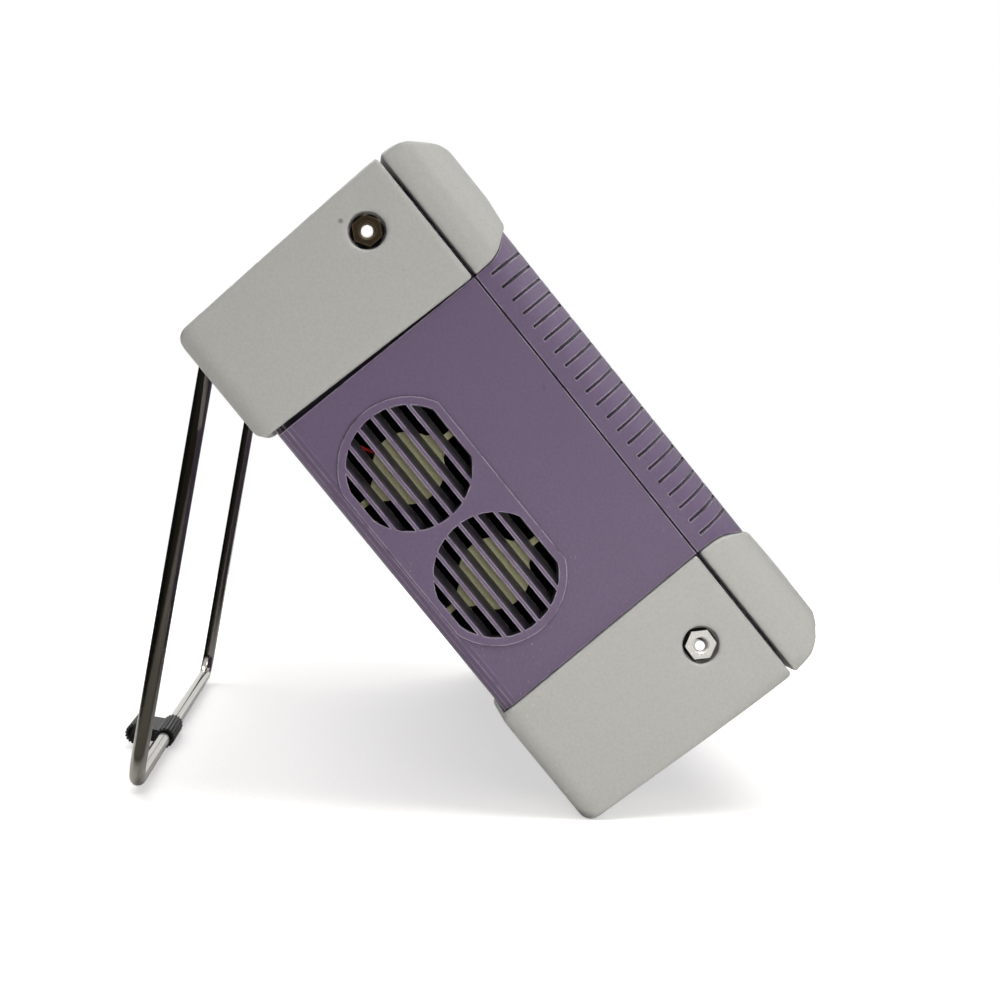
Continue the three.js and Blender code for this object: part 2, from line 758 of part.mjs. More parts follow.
function addBail() {
  const bail = new THREE.Group();
  bail.position.set(0, pivotY, pivotZ);
  bail.rotation.x = leanAngle + legSplay;
  instrument.add(bail);
  addPart('bail', bailWire(), material(colours.wire, 0.3, 0.9), bail);
  addPart('bail_sleeve', bailSleeve(), material(colours.black, 0.8), bail);
  const back = rearDepth - rearRecess + clearance;
  for (const [sideName, side] of Object.entries(sides)) {
    const outline = rounded([
      [back, pivotZ - 8, 1], [pivotY + 2.4, pivotZ - 8, 2], [pivotY + 4.3, pivotZ, 3],
      [pivotY + 3.6, pivotZ + 4.4, 2.5], [back, pivotZ + 4.4, 1],
    ], 3);
    const saddle = prism('x', outline, between(side, pinEnd - 2, legX - pinBend - 1.2));
    const bore = rod('x', [pivotY, pivotZ], wireRadius + clearance, [-halfWidth, halfWidth], 16);
    addPart(`bail_saddle_${sideName}`, saddle.subtract(bore), material(colours.black, 0.6));
  }
}

addShells();
addBumpers();
addInserts();
addFrontPanel();
addKeys();
addKnob();
addFans();
addInternals();
addSockets();
addBail();

// Lean the instrument back on its bail and stand it on the ground, centred over the origin.
instrument.rotation.x = -leanAngle;
const group = new THREE.Group();
group.add(instrument);
group.updateMatrixWorld(true);
const bounds = new THREE.Box3().setFromObject(group, true);
const middle = bounds.getCenter(new THREE.Vector3());
group.position.set(-middle.x, -middle.y, -bounds.min.z);

export default group;
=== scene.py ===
import json
import math

import bmesh
import bpy
from mathutils import Matrix, Vector

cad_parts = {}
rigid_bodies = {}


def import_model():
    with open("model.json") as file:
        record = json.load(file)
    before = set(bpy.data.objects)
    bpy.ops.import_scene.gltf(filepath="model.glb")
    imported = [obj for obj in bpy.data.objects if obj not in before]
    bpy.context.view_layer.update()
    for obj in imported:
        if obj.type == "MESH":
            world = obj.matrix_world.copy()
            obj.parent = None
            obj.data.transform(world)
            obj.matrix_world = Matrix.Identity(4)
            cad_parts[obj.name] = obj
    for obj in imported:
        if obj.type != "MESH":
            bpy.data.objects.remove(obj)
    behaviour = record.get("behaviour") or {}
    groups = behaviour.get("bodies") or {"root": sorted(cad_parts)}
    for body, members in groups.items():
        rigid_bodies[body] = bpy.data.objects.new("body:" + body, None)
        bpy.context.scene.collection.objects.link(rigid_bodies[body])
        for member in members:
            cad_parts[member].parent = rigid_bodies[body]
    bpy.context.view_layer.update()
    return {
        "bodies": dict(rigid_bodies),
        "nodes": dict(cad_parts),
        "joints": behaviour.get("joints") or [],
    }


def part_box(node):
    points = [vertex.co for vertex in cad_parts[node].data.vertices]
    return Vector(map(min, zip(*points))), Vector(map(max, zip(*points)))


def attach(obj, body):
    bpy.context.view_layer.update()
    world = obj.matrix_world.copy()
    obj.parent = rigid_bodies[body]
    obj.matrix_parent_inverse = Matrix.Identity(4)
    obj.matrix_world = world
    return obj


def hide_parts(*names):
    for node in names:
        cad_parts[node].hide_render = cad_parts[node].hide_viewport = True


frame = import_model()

joints = {joint["name"]: joint for joint in frame["joints"]}
case = "case"

# The case is built upright in millimetres and leant back: the keys' press axis gives the lean,
# and the bail's pivot ties the upright drawing to the frame.
caseDesign = {"topFace": 183.6, "pivot": (0.0, 72.6, 180.4)}
pressAxis = Vector(joints["key_5_press"]["axis"])
leanAngle = math.atan2(-pressAxis.z, pressAxis.y)
bailPivot = Vector(joints["bail_swing"]["pos_m"])
caseLean = Matrix.Rotation(-leanAngle, 4, "X")
millimetre = Matrix.Scale(0.001, 4)
caseOrigin = bailPivot - caseLean @ (0.001 * Vector(caseDesign["pivot"]))
fromCase = Matrix.Translation(caseOrigin) @ caseLean @ millimetre


# Camera, light and floor.

cameraDesign = {
    "place": (-0.66577, bailPivot.y - 0.041997, 0.10400),
    "swing": 5.023,     # degrees, from straight along +X towards the user's side
    "drop": -1.463,
    "roll": 0.362,
    "lens": 62.48,
    "sensor": 36.0,
}

lightDesign = {
    "overhead": {"place": (-0.42, -0.30, 1.25), "size": 0.9, "power": 11.0, "shine": True},
    "sideFill": {"place": (-1.5, -0.6, 0.7), "size": 1.0, "power": 1.0, "shine": False},
    "farFill": {"place": (1.1, 0.7, 1.2), "size": 1.2, "power": 10.0, "shine": True},
    "lowFront": {"place": (-0.50, -0.11, 0.03), "size": 0.16, "power": 0.66, "shine": False},
}
lampColour = (1.0, 0.99, 0.97)

worldDesign = {
    "ambient": (0.25, 0.25, 0.254),
    "ceiling": (0.95, 0.95, 0.95),
    "backdrop": (0.90, 0.90, 0.88),
    "room": (0.022, 0.019, 0.015),     # what a polished part sees towards the camera
    "dark": (0.006, 0.006, 0.006),
}


def makeCamera():
    swing, drop, roll = (math.radians(cameraDesign[key]) for key in ("swing", "drop", "roll"))
    ahead = Vector((math.cos(drop) * math.cos(swing), -math.cos(drop) * math.sin(swing), math.sin(drop)))
    right = ahead.cross(Vector((0, 0, 1))).normalized()
    up = right.cross(ahead)
    turned = (math.cos(roll) * right + math.sin(roll) * up, -math.sin(roll) * right + math.cos(roll) * up)
    data = bpy.data.cameras.new("studioCamera")
    data.lens = cameraDesign["lens"]
    data.sensor_width = cameraDesign["sensor"]
    data.clip_start = 0.01
    camera = bpy.data.objects.new("studioCamera", data)
    camera.matrix_world = Matrix((
        (turned[0].x, turned[1].x, -ahead.x, cameraDesign["place"][0]),
        (turned[0].y, turned[1].y, -ahead.y, cameraDesign["place"][1]),
        (turned[0].z, turned[1].z, -ahead.z, cameraDesign["place"][2]),
        (0, 0, 0, 1),
    ))
    bpy.context.scene.collection.objects.link(camera)
    bpy.context.scene.camera = camera


def makeLights():
    for name, look in lightDesign.items():
        data = bpy.data.lights.new(name, "AREA")
        data.shape = "DISK"
        data.size = look["size"]
        data.energy = look["power"]
        data.color = lampColour
        lamp = bpy.data.objects.new(name, data)
        lamp.location = look["place"]
        lamp.visible_camera = False
        lamp.visible_glossy = look["shine"]
        lamp.rotation_euler = (
            Vector((0, 0, 0.08)) - Vector(look["place"])
        ).to_track_quat("-Z", "Y").to_euler()
        bpy.context.scene.collection.objects.link(lamp)


def makeWorld():
    # Seen directly the studio is plain white. Polished parts see a bright ceiling over a dark room.
    world = bpy.data.worlds.new("whiteStudio")
    bpy.context.scene.world = world
    world.use_nodes = True
    tree = world.node_tree
    tree.nodes.clear()
    out = tree.nodes.new("ShaderNodeOutputWorld")
    coords = tree.nodes.new("ShaderNodeTexCoord")
    split = tree.nodes.new("ShaderNodeSeparateXYZ")
    tree.links.new(coords.outputs["Generated"], split.inputs[0])
    behind = ramped(tree, split.outputs["X"], -0.3, -0.95)
    walls = mixColour(tree, behind, worldDesign["dark"], worldDesign["room"])
    above = ramped(tree, split.outputs["Z"], 0.22, 0.62)
    ahead = ramped(tree, split.outputs["X"], 0.80, 0.96)
    walls = mixColour(tree, ahead, walls, worldDesign["backdrop"])
    mirrored = mixColour(tree, above, walls, worldDesign["ceiling"])
    path = tree.nodes.new("ShaderNodeLightPath")
    lit = mixColour(tree, path.outputs["Is Glossy Ray"], worldDesign["ambient"], mirrored)
    shown = mixColour(tree, path.outputs["Is Camera Ray"], lit, (1.0, 1.0, 1.0))
    around = tree.nodes.new("ShaderNodeBackground")
    tree.links.new(shown, around.inputs["Color"])
    tree.links.new(around.outputs[0], out.inputs["Surface"])
    bpy.context.scene.view_settings.view_transform = "Standard"


floorDesign = {"radius": 0.85, "paper": (0.90, 0.885, 0.86), "lift": 0.50, "reflectionDark": (0.07, 0.06, 0.048)}


def makeFloor():
    # A round white sheet; it is lifted towards white for the camera, and in reflections its near side is
    # painted dark, a painted reflection.
    bm = bmesh.new()
    bmesh.ops.create_circle(bm, cap_ends=True, radius=floorDesign["radius"], segments=128)
    mesh = bpy.data.meshes.new("studioFloor")
    bm.to_mesh(mesh)
    bm.free()
    floor = bpy.data.objects.new("studioFloor", mesh)
    bpy.context.scene.collection.objects.link(floor)
    paper = bpy.data.materials.new("whitePaper")
    paper.use_nodes = True
    tree = paper.node_tree
    shader = tree.nodes["Principled BSDF"]
    shader.inputs["Roughness"].default_value = 0.6
    spot = tree.nodes.new("ShaderNodeTexCoord").outputs["Object"]
    split = tree.nodes.new("ShaderNodeSeparateXYZ")
    tree.links.new(spot, split.inputs[0])
    path = tree.nodes.new("ShaderNodeLightPath")
    nearSide = ramped(tree, split.outputs["X"], -0.125, -0.16)
    dull = times(tree, path.outputs["Is Glossy Ray"], nearSide)
    tree.links.new(
        mixColour(tree, dull, floorDesign["paper"], floorDesign["reflectionDark"]), shader.inputs["Base Color"]
    )
    shader.inputs["Emission Color"].default_value = (1, 1, 1, 1)
    lift = times(tree, path.outputs["Is Camera Ray"], floorDesign["lift"])
    tree.links.new(lift, shader.inputs["Emission Strength"])
    fibre = noiseOf(tree, spot, 420.0, 4.0, 0.6)
    relief = tree.nodes.new("ShaderNodeBump")
    relief.inputs["Strength"].default_value = 0.25
    relief.inputs["Distance"].default_value = 0.0006
    tree.links.new(fibre, relief.inputs["Height"])
    tree.links.new(relief.outputs["Normal"], shader.inputs["Normal"])
    mesh.materials.append(paper)


# Shader node groups shared by the finishes.

def newGroup(name, inputs, outputs):
    group = bpy.data.node_groups.new(name, "ShaderNodeTree")
    for label, kind, value in inputs:
        made = group.interface.new_socket(label, in_out="INPUT", socket_type=kind)
        if value is not None:
            made.default_value = value
    for label, kind in outputs:
        group.interface.new_socket(label, in_out="OUTPUT", socket_type=kind)
    return group, group.nodes.new("NodeGroupInput"), group.nodes.new("NodeGroupOutput")


def ramped(group, source, low, high):
    span = group.nodes.new("ShaderNodeMapRange")
    span.interpolation_type = "SMOOTHSTEP"
    span.inputs["From Min"].default_value = low
    span.inputs["From Max"].default_value = high
    group.links.new(source, span.inputs["Value"])
    return span.outputs["Result"]


def times(group, a, b, operation="MULTIPLY"):
    node = group.nodes.new("ShaderNodeMath")
    node.operation = operation
    for socket, value in zip(node.inputs, (a, b)):
        if isinstance(value, (int, float)):
            socket.default_value = value
        else:
            group.links.new(value, socket)
    return node.outputs[0]


def noiseOf(group, vector, scale, detail=2.0, roughness=0.5):
    node = group.nodes.new("ShaderNodeTexNoise")
    node.inputs["Detail"].default_value = detail
    node.inputs["Roughness"].default_value = roughness
    group.links.new(vector, node.inputs["Vector"])
    if isinstance(scale, (int, float)):
        node.inputs["Scale"].default_value = scale
    else:
        group.links.new(scale, node.inputs["Scale"])
    return node.outputs["Fac"]


def buildMouldGrain():
    # Spark-eroded mould texture: fine pits as a height, and a slow change of tone.
    group, given, made = newGroup(
        "mouldGrain",
        [("Vector", "NodeSocketVector", None), ("Scale", "NodeSocketFloat", 1800.0)],
        [("Height", "NodeSocketFloat"), ("Tone", "NodeSocketFloat")],
    )
    fine = noiseOf(group, given.outputs["Vector"], given.outputs["Scale"], 3.0, 0.65)
    pits = group.nodes.new("ShaderNodeTexVoronoi")
    group.links.new(given.outputs["Vector"], pits.inputs["Vector"])
    group.links.new(given.outputs["Scale"], pits.inputs["Scale"])
    height = times(group, times(group, fine, 0.6), times(group, pits.outputs["Distance"], 0.4), "ADD")
    slow = noiseOf(group, given.outputs["Vector"], 22.0, 4.0, 0.6)
    speckle = noiseOf(group, given.outputs["Vector"], 1300.0, 2.0, 0.6)
    tone = times(
        group, times(group, slow, 0.35), times(group, ramped(group, speckle, 0.3, 0.75), 0.65), "ADD"
    )
    group.links.new(height, made.inputs["Height"])
    group.links.new(tone, made.inputs["Tone"])
    return group


def buildEdgeWearAndHighlight():
    # Rubbed edges and painted edge highlights: where the surface turns sharply outwards, broken up by noise.
    group, given, made = newGroup(
        "edgeWearAndHighlight",
        [(
            "Vector", "NodeSocketVector", None
        ), ("Amount", "NodeSocketFloat", 0.5), ("Reach", "NodeSocketFloat", 0.0005)],
        [("Mask", "NodeSocketFloat")],
    )
    flat = group.nodes.new("ShaderNodeNewGeometry")
    eased = group.nodes.new("ShaderNodeBevel")
    eased.samples = 4
    group.links.new(given.outputs["Reach"], eased.inputs["Radius"])
    turn = group.nodes.new("ShaderNodeVectorMath")
    turn.operation = "DOT_PRODUCT"
    group.links.new(flat.outputs["True Normal"], turn.inputs[0])
    group.links.new(eased.outputs["Normal"], turn.inputs[1])
    sharp = ramped(group, turn.outputs["Value"], 0.998, 0.955)
    broken = ramped(group, noiseOf(group, given.outputs["Vector"], 160.0, 4.0, 0.65), 0.28, 0.56)
    group.links.new(times(group, times(group, sharp, broken), given.outputs["Amount"]), made.inputs["Mask"])
    return group


def buildHandlingMarks():
    # Handling marks: small specks, and hair scratches drawn out along one way.
    group, given, made = newGroup(
        "handlingMarks",
        [("Vector", "NodeSocketVector", None), ("Amount", "NodeSocketFloat", 0.5)],
        [("Specks", "NodeSocketFloat"), ("Scratches", "NodeSocketFloat")],
    )
    dots = group.nodes.new("ShaderNodeTexVoronoi")
    dots.inputs["Scale"].default_value = 95.0
    group.links.new(given.outputs["Vector"], dots.inputs["Vector"])
    near = ramped(group, dots.outputs["Distance"], 0.105, 0.06)
    chosen = ramped(group, noiseOf(group, given.outputs["Vector"], 31.0, 1.0), 0.60, 0.66)
    stretch = group.nodes.new("ShaderNodeMapping")
    stretch.inputs["Rotation"].default_value = (0.5, 0.3, 0.9)
    stretch.inputs["Scale"].default_value = (40.0, 1400.0, 900.0)
    group.links.new(given.outputs["Vector"], stretch.inputs["Vector"])
    lines = ramped(group, noiseOf(group, stretch.outputs[0], 1.0, 1.0), 0.70, 0.76)
    patch = ramped(group, noiseOf(group, given.outputs["Vector"], 14.0, 2.0), 0.52, 0.66)
    group.links.new(times(group, times(group, near, chosen), given.outputs["Amount"]), made.inputs["Specks"])
    group.links.new(
        times(group, times(group, lines, patch), given.outputs["Amount"]), made.inputs["Scratches"]
    )
    return group


def buildSettledDust():
    # A thin film on what faces up, thicker in patches.
    group, given, made = newGroup(
        "settledDust",
        [("Vector", "NodeSocketVector", None), ("Amount", "NodeSocketFloat", 0.3)],
        [("Mask", "NodeSocketFloat")],
    )
    facing = group.nodes.new("ShaderNodeNewGeometry")
    split = group.nodes.new("ShaderNodeSeparateXYZ")
    group.links.new(facing.outputs["Normal"], split.inputs[0])
    upward = ramped(group, split.outputs["Z"], 0.1, 1.0)
    patchy = ramped(group, noiseOf(group, given.outputs["Vector"], 45.0, 5.0, 0.7), 0.35, 0.75)
    group.links.new(times(group, times(group, upward, patchy), given.outputs["Amount"]), made.inputs["Mask"])
    return group


def buildCreviceShade():
    # Painted shade in hollows and joints: darker where ambient occlusion finds the surface closed in, made
    # uneven by noise.
    group, given, made = newGroup(
        "creviceShade",
        [(
            "Vector", "NodeSocketVector", None
        ), ("Amount", "NodeSocketFloat", 0.5), ("Reach", "NodeSocketFloat", 0.004)],
        [("Mask", "NodeSocketFloat")],
    )
    clear = group.nodes.new("ShaderNodeAmbientOcclusion")
    clear.samples = 8
    group.links.new(given.outputs["Reach"], clear.inputs["Distance"])
    closed = ramped(group, clear.outputs["AO"], 0.86, 0.46)
    shadeBreakup = noiseOf(group, given.outputs["Vector"], 300.0, 3.0, 0.6)
    uneven = times(group, closed, times(group, times(group, shadeBreakup, 0.5), 0.75, "ADD"))
    group.links.new(times(group, uneven, given.outputs["Amount"]), made.inputs["Mask"])
    return group


groups = {
    "grain": buildMouldGrain(),
    "wear": buildEdgeWearAndHighlight(),
    "marks": buildHandlingMarks(),
    "dust": buildSettledDust(),
    "creviceShade": buildCreviceShade(),
}


# Finishes.

finishes = {
    # On the case the pale edge colour paints the highlights on edges, groove lips and vent bars as well as
    # wear.
    "casePurple": {
        "colour": (0.137, 0.099, 0.171), "shade": (0.118, 0.084, 0.150), "worn": (0.52, 0.45, 0.56),
        "dusty": (0.36, 0.34, 0.34), "rough": (0.38, 0.50), "grain": 1100.0, "bump": 0.22, "wear": 0.8,
        "edge": 0.00042,
        "marks": 0.3, "dust": 0.06, "creviceShade": 0.97, "hollow": 0.009, "sheen": 0.12,
    },
    "bumperGrey": {
        "colour": (0.425, 0.425, 0.405), "shade": (0.375, 0.376, 0.362), "worn": (0.52, 0.52, 0.50),
        "dusty": (0.50, 0.48, 0.44), "rough": (0.46, 0.60), "grain": 1100.0, "bump": 0.08, "wear": 0.35,
        "sheen": 0.15,
        "marks": 0.75, "dust": 0.12, "creviceShade": 0.35,
    },
    "blackPlastic": {
        "colour": (0.014, 0.014, 0.015), "shade": (0.009, 0.009, 0.010), "worn": (0.07, 0.07, 0.07),
        "dusty": (0.20, 0.19, 0.18), "rough": (0.38, 0.55), "grain": 1600.0, "bump": 0.16, "wear": 0.5,
        "marks": 0.2, "dust": 0.12,
    },
    "sleeveRubber": {
        "colour": (0.005, 0.005, 0.005), "shade": (0.003, 0.003, 0.003), "worn": (0.03, 0.03, 0.03),
        "dusty": (0.04, 0.04, 0.04), "rough": (0.48, 0.6), "grain": 1100.0, "bump": 0.1, "wear": 0.4,
        "dust": 0.1, "creviceShade": 0.9,
    },
    "gasketBlack": {
        "colour": (0.006, 0.006, 0.006), "shade": (0.004, 0.004, 0.004), "worn": (0.02, 0.02, 0.02),
        "dusty": (0.05, 0.05, 0.05), "rough": (0.8, 0.9), "grain": 900.0, "bump": 0.1,
    },
    "bailNickel": {
        "colour": (0.48, 0.465, 0.43), "shade": (0.42, 0.405, 0.37), "worn": (0.62, 0.60, 0.56),
        "dusty": (0.3, 0.28, 0.25), "rough": (0.08, 0.16), "grain": 700.0, "bump": 0.02, "wear": 0.2,
        "metal": 1.0, "marks": 0.5,
    },
    "brightNickel": {
        "colour": (0.84, 0.83, 0.80), "shade": (0.70, 0.69, 0.66), "worn": (0.95, 0.94, 0.92),
        "dusty": (0.4, 0.38, 0.34), "rough": (0.16, 0.32), "grain": 900.0, "bump": 0.05, "wear": 0.4,
        "metal": 0.4, "marks": 0.4, "creviceShade": 1.0,
    },
    "agedBronze": {
        "colour": (0.085, 0.058, 0.030), "shade": (0.045, 0.032, 0.020), "worn": (0.32, 0.24, 0.14),
        "dusty": (0.2, 0.18, 0.14), "rough": (0.30, 0.55), "grain": 800.0, "bump": 0.12, "wear": 0.7,
        "metal": 0.7, "marks": 0.6, "creviceShade": 0.8,
    },
    "fanBlack": {
        "colour": (0.005, 0.005, 0.006), "shade": (0.003, 0.003, 0.004), "worn": (0.02, 0.02, 0.02),
        "dusty": (0.03, 0.03, 0.03), "rough": (0.55, 0.7), "grain": 1200.0, "bump": 0.1, "dust": 0.1,
    },
    # Painted shade: a black for the heat sink, so the inside of the case looks dark.
    "heatSinkShadeBlack": {
        "colour": (0.018, 0.018, 0.020), "shade": (0.012, 0.012, 0.013), "worn": (0.2, 0.2, 0.2),
        "dusty": (0.06, 0.06, 0.06), "rough": (0.4, 0.55), "grain": 900.0, "bump": 0.1, "metal": 0.6,
        "wear": 0.3, "dust": 0.15,
    },
    # The screw tips glow: painted light that keeps them bright white.
    "screwTip": {
        "colour": (0.90, 0.90, 0.88), "shade": (0.84, 0.84, 0.82), "worn": (0.95, 0.95, 0.95),
        "dusty": (0.6, 0.6, 0.58), "rough": (0.3, 0.4), "grain": 1200.0, "bump": 0.04, "glow": 0.55,
    },
    "statorKhaki": {
        "colour": (0.50, 0.49, 0.29), "shade": (0.38, 0.37, 0.21), "worn": (0.36, 0.35, 0.22),
        "dusty": (0.36, 0.34, 0.27), "rough": (0.5, 0.65), "grain": 900.0, "bump": 0.12, "dust": 0.15,
    },
    "leadRed": {
        "colour": (0.48, 0.015, 0.012), "shade": (0.36, 0.01, 0.01), "worn": (0.6, 0.1, 0.1),
        "dusty": (0.4, 0.2, 0.2), "rough": (0.35, 0.5), "grain": 900.0, "bump": 0.05,
    },
    "overlayFilm": {
        "colour": (0.040, 0.036, 0.052), "shade": (0.033, 0.030, 0.044), "worn": (0.10, 0.10, 0.12),
        "dusty": (0.30, 0.29, 0.28), "rough": (0.36, 0.48), "grain": 2300.0, "bump": 0.10, "marks": 0.3,
        "dust": 0.14,
    },
    "keyGrey": {
        "colour": (0.36, 0.36, 0.37), "shade": (0.31, 0.31, 0.32), "worn": (0.46, 0.46, 0.46),
        "dusty": (0.45, 0.44, 0.42), "rough": (0.45, 0.6), "grain": 1700.0, "bump": 0.12, "wear": 0.3,
        "marks": 0.2, "dust": 0.1,
    },
    "softkeyDark": {
        "colour": (0.11, 0.10, 0.13), "shade": (0.09, 0.082, 0.11), "worn": (0.2, 0.2, 0.22),
        "dusty": (0.35, 0.34, 0.33), "rough": (0.45, 0.6), "grain": 1700.0, "bump": 0.12, "wear": 0.3,
        "marks": 0.2, "dust": 0.1,
    },
    "legendWhite": {
        "colour": (0.72, 0.72, 0.70), "shade": (0.66, 0.66, 0.64), "worn": (0.8, 0.8, 0.8),
        "dusty": (0.6, 0.6, 0.58), "rough": (0.5, 0.6), "grain": 1500.0, "bump": 0.03,
    },
    "screenDark": {
        "colour": (0.020, 0.027, 0.030), "shade": (0.016, 0.022, 0.026), "worn": (0.03, 0.04, 0.04),
        "dusty": (0.1, 0.1, 0.1), "rough": (0.22, 0.30), "grain": 3000.0, "bump": 0.02,
    },
    "boardGreen": {
        "colour": (0.015, 0.085, 0.040), "shade": (0.010, 0.065, 0.030), "worn": (0.05, 0.15, 0.08),
        "dusty": (0.2, 0.22, 0.2), "rough": (0.25, 0.4), "grain": 600.0, "bump": 0.08, "dust": 0.2,
    },
    "tinnedSteel": {
        "colour": (0.50, 0.50, 0.48), "shade": (0.40, 0.40, 0.385), "worn": (0.66, 0.66, 0.64),
        "dusty": (0.4, 0.4, 0.38), "rough": (0.3, 0.45), "grain": 500.0, "bump": 0.06, "metal": 1.0,
        "marks": 0.5, "dust": 0.1, "wear": 0.3,
    },
}


def mixColour(tree, mask, below, above):
    node = tree.nodes.new("ShaderNodeMix")
    node.data_type = "RGBA"
    tree.links.new(mask, node.inputs[0])
    for socket, value in ((node.inputs[6], below), (node.inputs[7], above)):
        if isinstance(value, tuple):
            socket.default_value = (*value, 1)
        else:
            tree.links.new(value, socket)
    return node.outputs[2]


def placeGroup(tree, kind, vector, **values):
    node = tree.nodes.new("ShaderNodeGroup")
    node.node_tree = groups[kind]
    tree.links.new(vector, node.inputs["Vector"])
    for label, value in values.items():
        node.inputs[label].default_value = value
    return node


def makeFinish(name, look):
    material = bpy.data.materials.new(name)
    material.use_nodes = True
    tree = material.node_tree
    shader = tree.nodes["Principled BSDF"]
    spot = tree.nodes.new("ShaderNodeTexCoord").outputs["Object"]
    grain = placeGroup(tree, "grain", spot, Scale=look["grain"])
    marks = placeGroup(tree, "marks", spot, Amount=look.get("marks", 0.0))
    colour = mixColour(tree, grain.outputs["Tone"], look["colour"], look["shade"])
    if look.get("marks"):
        colour = mixColour(tree, marks.outputs["Scratches"], colour, look["worn"])
        colour = mixColour(
            tree, marks.outputs["Specks"], colour, tuple(0.35 * part for part in look["shade"])
        )
    if look.get("dust"):
        dust = placeGroup(tree, "dust", spot, Amount=look["dust"])
        colour = mixColour(tree, dust.outputs["Mask"], colour, look["dusty"])
    # Painted shade: hollows and joints are mixed towards a near-black of the shade colour.
    if look.get("creviceShade"):
        hollow = placeGroup(tree, "creviceShade", spot, Amount=look["creviceShade"], Reach=look.get("hollow", 0.004))
        colour = mixColour(tree, hollow.outputs["Mask"], colour, tuple(0.12 * part for part in look["shade"]))
    # Edge wear, and painted highlights on edges and groove lips: edges are mixed towards the pale worn
    # colour.
    if look.get("wear"):
        worn = placeGroup(tree, "wear", spot, Amount=look["wear"], Reach=look.get("edge", 0.0005))
        colour = mixColour(tree, worn.outputs["Mask"], colour, look["worn"])
    tree.links.new(colour, shader.inputs["Base Color"])
    shader.inputs["Sheen Weight"].default_value = look.get("sheen", 0.0)
    shader.inputs["Sheen Roughness"].default_value = 0.4
    # Painted light: a finish with a glow gives off light in its own colour.
    if look.get("glow"):
        shader.inputs["Emission Color"].default_value = (*look["colour"], 1)
        shader.inputs["Emission Strength"].default_value = look["glow"]
    gloss = tree.nodes.new("ShaderNodeMapRange")
    gloss.inputs["To Min"].default_value, gloss.inputs["To Max"].default_value = look["rough"]
    tree.links.new(grain.outputs["Tone"], gloss.inputs["Value"])
    tree.links.new(gloss.outputs["Result"], shader.inputs["Roughness"])
    shader.inputs["Metallic"].default_value = look.get("metal", 0.0)
    relief = tree.nodes.new("ShaderNodeBump")
    relief.inputs["Strength"].default_value = look["bump"]
    relief.inputs["Distance"].default_value = 0.0004
    tree.links.new(grain.outputs["Height"], relief.inputs["Height"])
    tree.links.new(relief.outputs["Normal"], shader.inputs["Normal"])
    return material


def makeWindowGlass():
    material = bpy.data.materials.new("windowGlass")
    material.use_nodes = True
    tree = material.node_tree
    shader = tree.nodes["Principled BSDF"]
    shader.inputs["Base Color"].default_value = (0.55, 0.60, 0.62, 1)
    shader.inputs["Transmission Weight"].default_value = 1.0
    shader.inputs["IOR"].default_value = 1.49
    spot = tree.nodes.new("ShaderNodeTexCoord").outputs["Object"]
    film = placeGroup(tree, "grain", spot, Scale=260.0)
    gloss = tree.nodes.new("ShaderNodeMapRange")
    gloss.inputs["To Min"].default_value = 0.02
    gloss.inputs["To Max"].default_value = 0.07
    tree.links.new(film.outputs["Tone"], gloss.inputs["Value"])
    tree.links.new(gloss.outputs["Result"], shader.inputs["Roughness"])
    return material


materials = {name: makeFinish(name, look) for name, look in finishes.items()}
materials["windowGlass"] = makeWindowGlass()
print("finishes ready")


# Making pieces.

def newPiece(name, mesh, finish, body, slotName, *nodes):
    piece = bpy.data.objects.new(name, mesh)
    bpy.context.scene.collection.objects.link(piece)
    mesh.materials.clear()
    mesh.materials.append(materials[finish])
    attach(piece, body)
    if nodes:
        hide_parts(*nodes)
    return piece


def meshOf(bm, name, matrix=fromCase, recalculate=True):
    if recalculate:
        bmesh.ops.recalc_face_normals(bm, faces=bm.faces)
    mesh = bpy.data.meshes.new(name)
    bm.to_mesh(mesh)
    bm.free()
    if matrix is not None:
        mesh.transform(matrix)
    return mesh


def settle(piece, sharpAngle=35.0):
    # Fixes the modifiers into the mesh and smooths every edge gentler than the given angle.
    graph = bpy.context.evaluated_depsgraph_get()
    mesh = bpy.data.meshes.new_from_object(piece.evaluated_get(graph))
    piece.modifiers.clear()
    old = piece.data
    piece.data = mesh
    bpy.data.meshes.remove(old)
    if not mesh.has_custom_normals:
        mesh.polygons.foreach_set("use_smooth", [True] * len(mesh.polygons))
        mesh.set_sharp_from_angle(angle=math.radians(sharpAngle))
    return piece


def cleanCopy(node, flatness=1.0):
    # A CAD node's mesh is loose triangles: the copy is merged and its flat faces are joined.
    bm = bmesh.new()
    bm.from_mesh(frame["nodes"][node].data)
    bmesh.ops.remove_doubles(bm, verts=bm.verts, dist=2e-6)
    bmesh.ops.dissolve_limit(
        bm, angle_limit=math.radians(flatness), verts=bm.verts, edges=bm.edges, use_dissolve_boundaries=False
    )
    return bm


def bevelled(piece, width, segments=2, angle=28.0):
    soften = piece.modifiers.new("edges", "BEVEL")
    soften.width = width
    soften.segments = segments
    soften.limit_method = "ANGLE"
    soften.angle_limit = math.radians(angle)
    soften.use_clamp_overlap = True
    piece.data.polygons.foreach_set("use_smooth", [True] * len(piece.data.polygons))
    even = piece.modifiers.new("evenShading", "WEIGHTED_NORMAL")
    even.weight = 90
    return piece


def bevelledNode(node, name, finish, body, slotName, width, segments=2):
    mesh = meshOf(cleanCopy(node), name, None, False)
    piece = newPiece(name, mesh, finish, body, slotName, node)
    bevelled(piece, width, segments)
    return settle(piece)


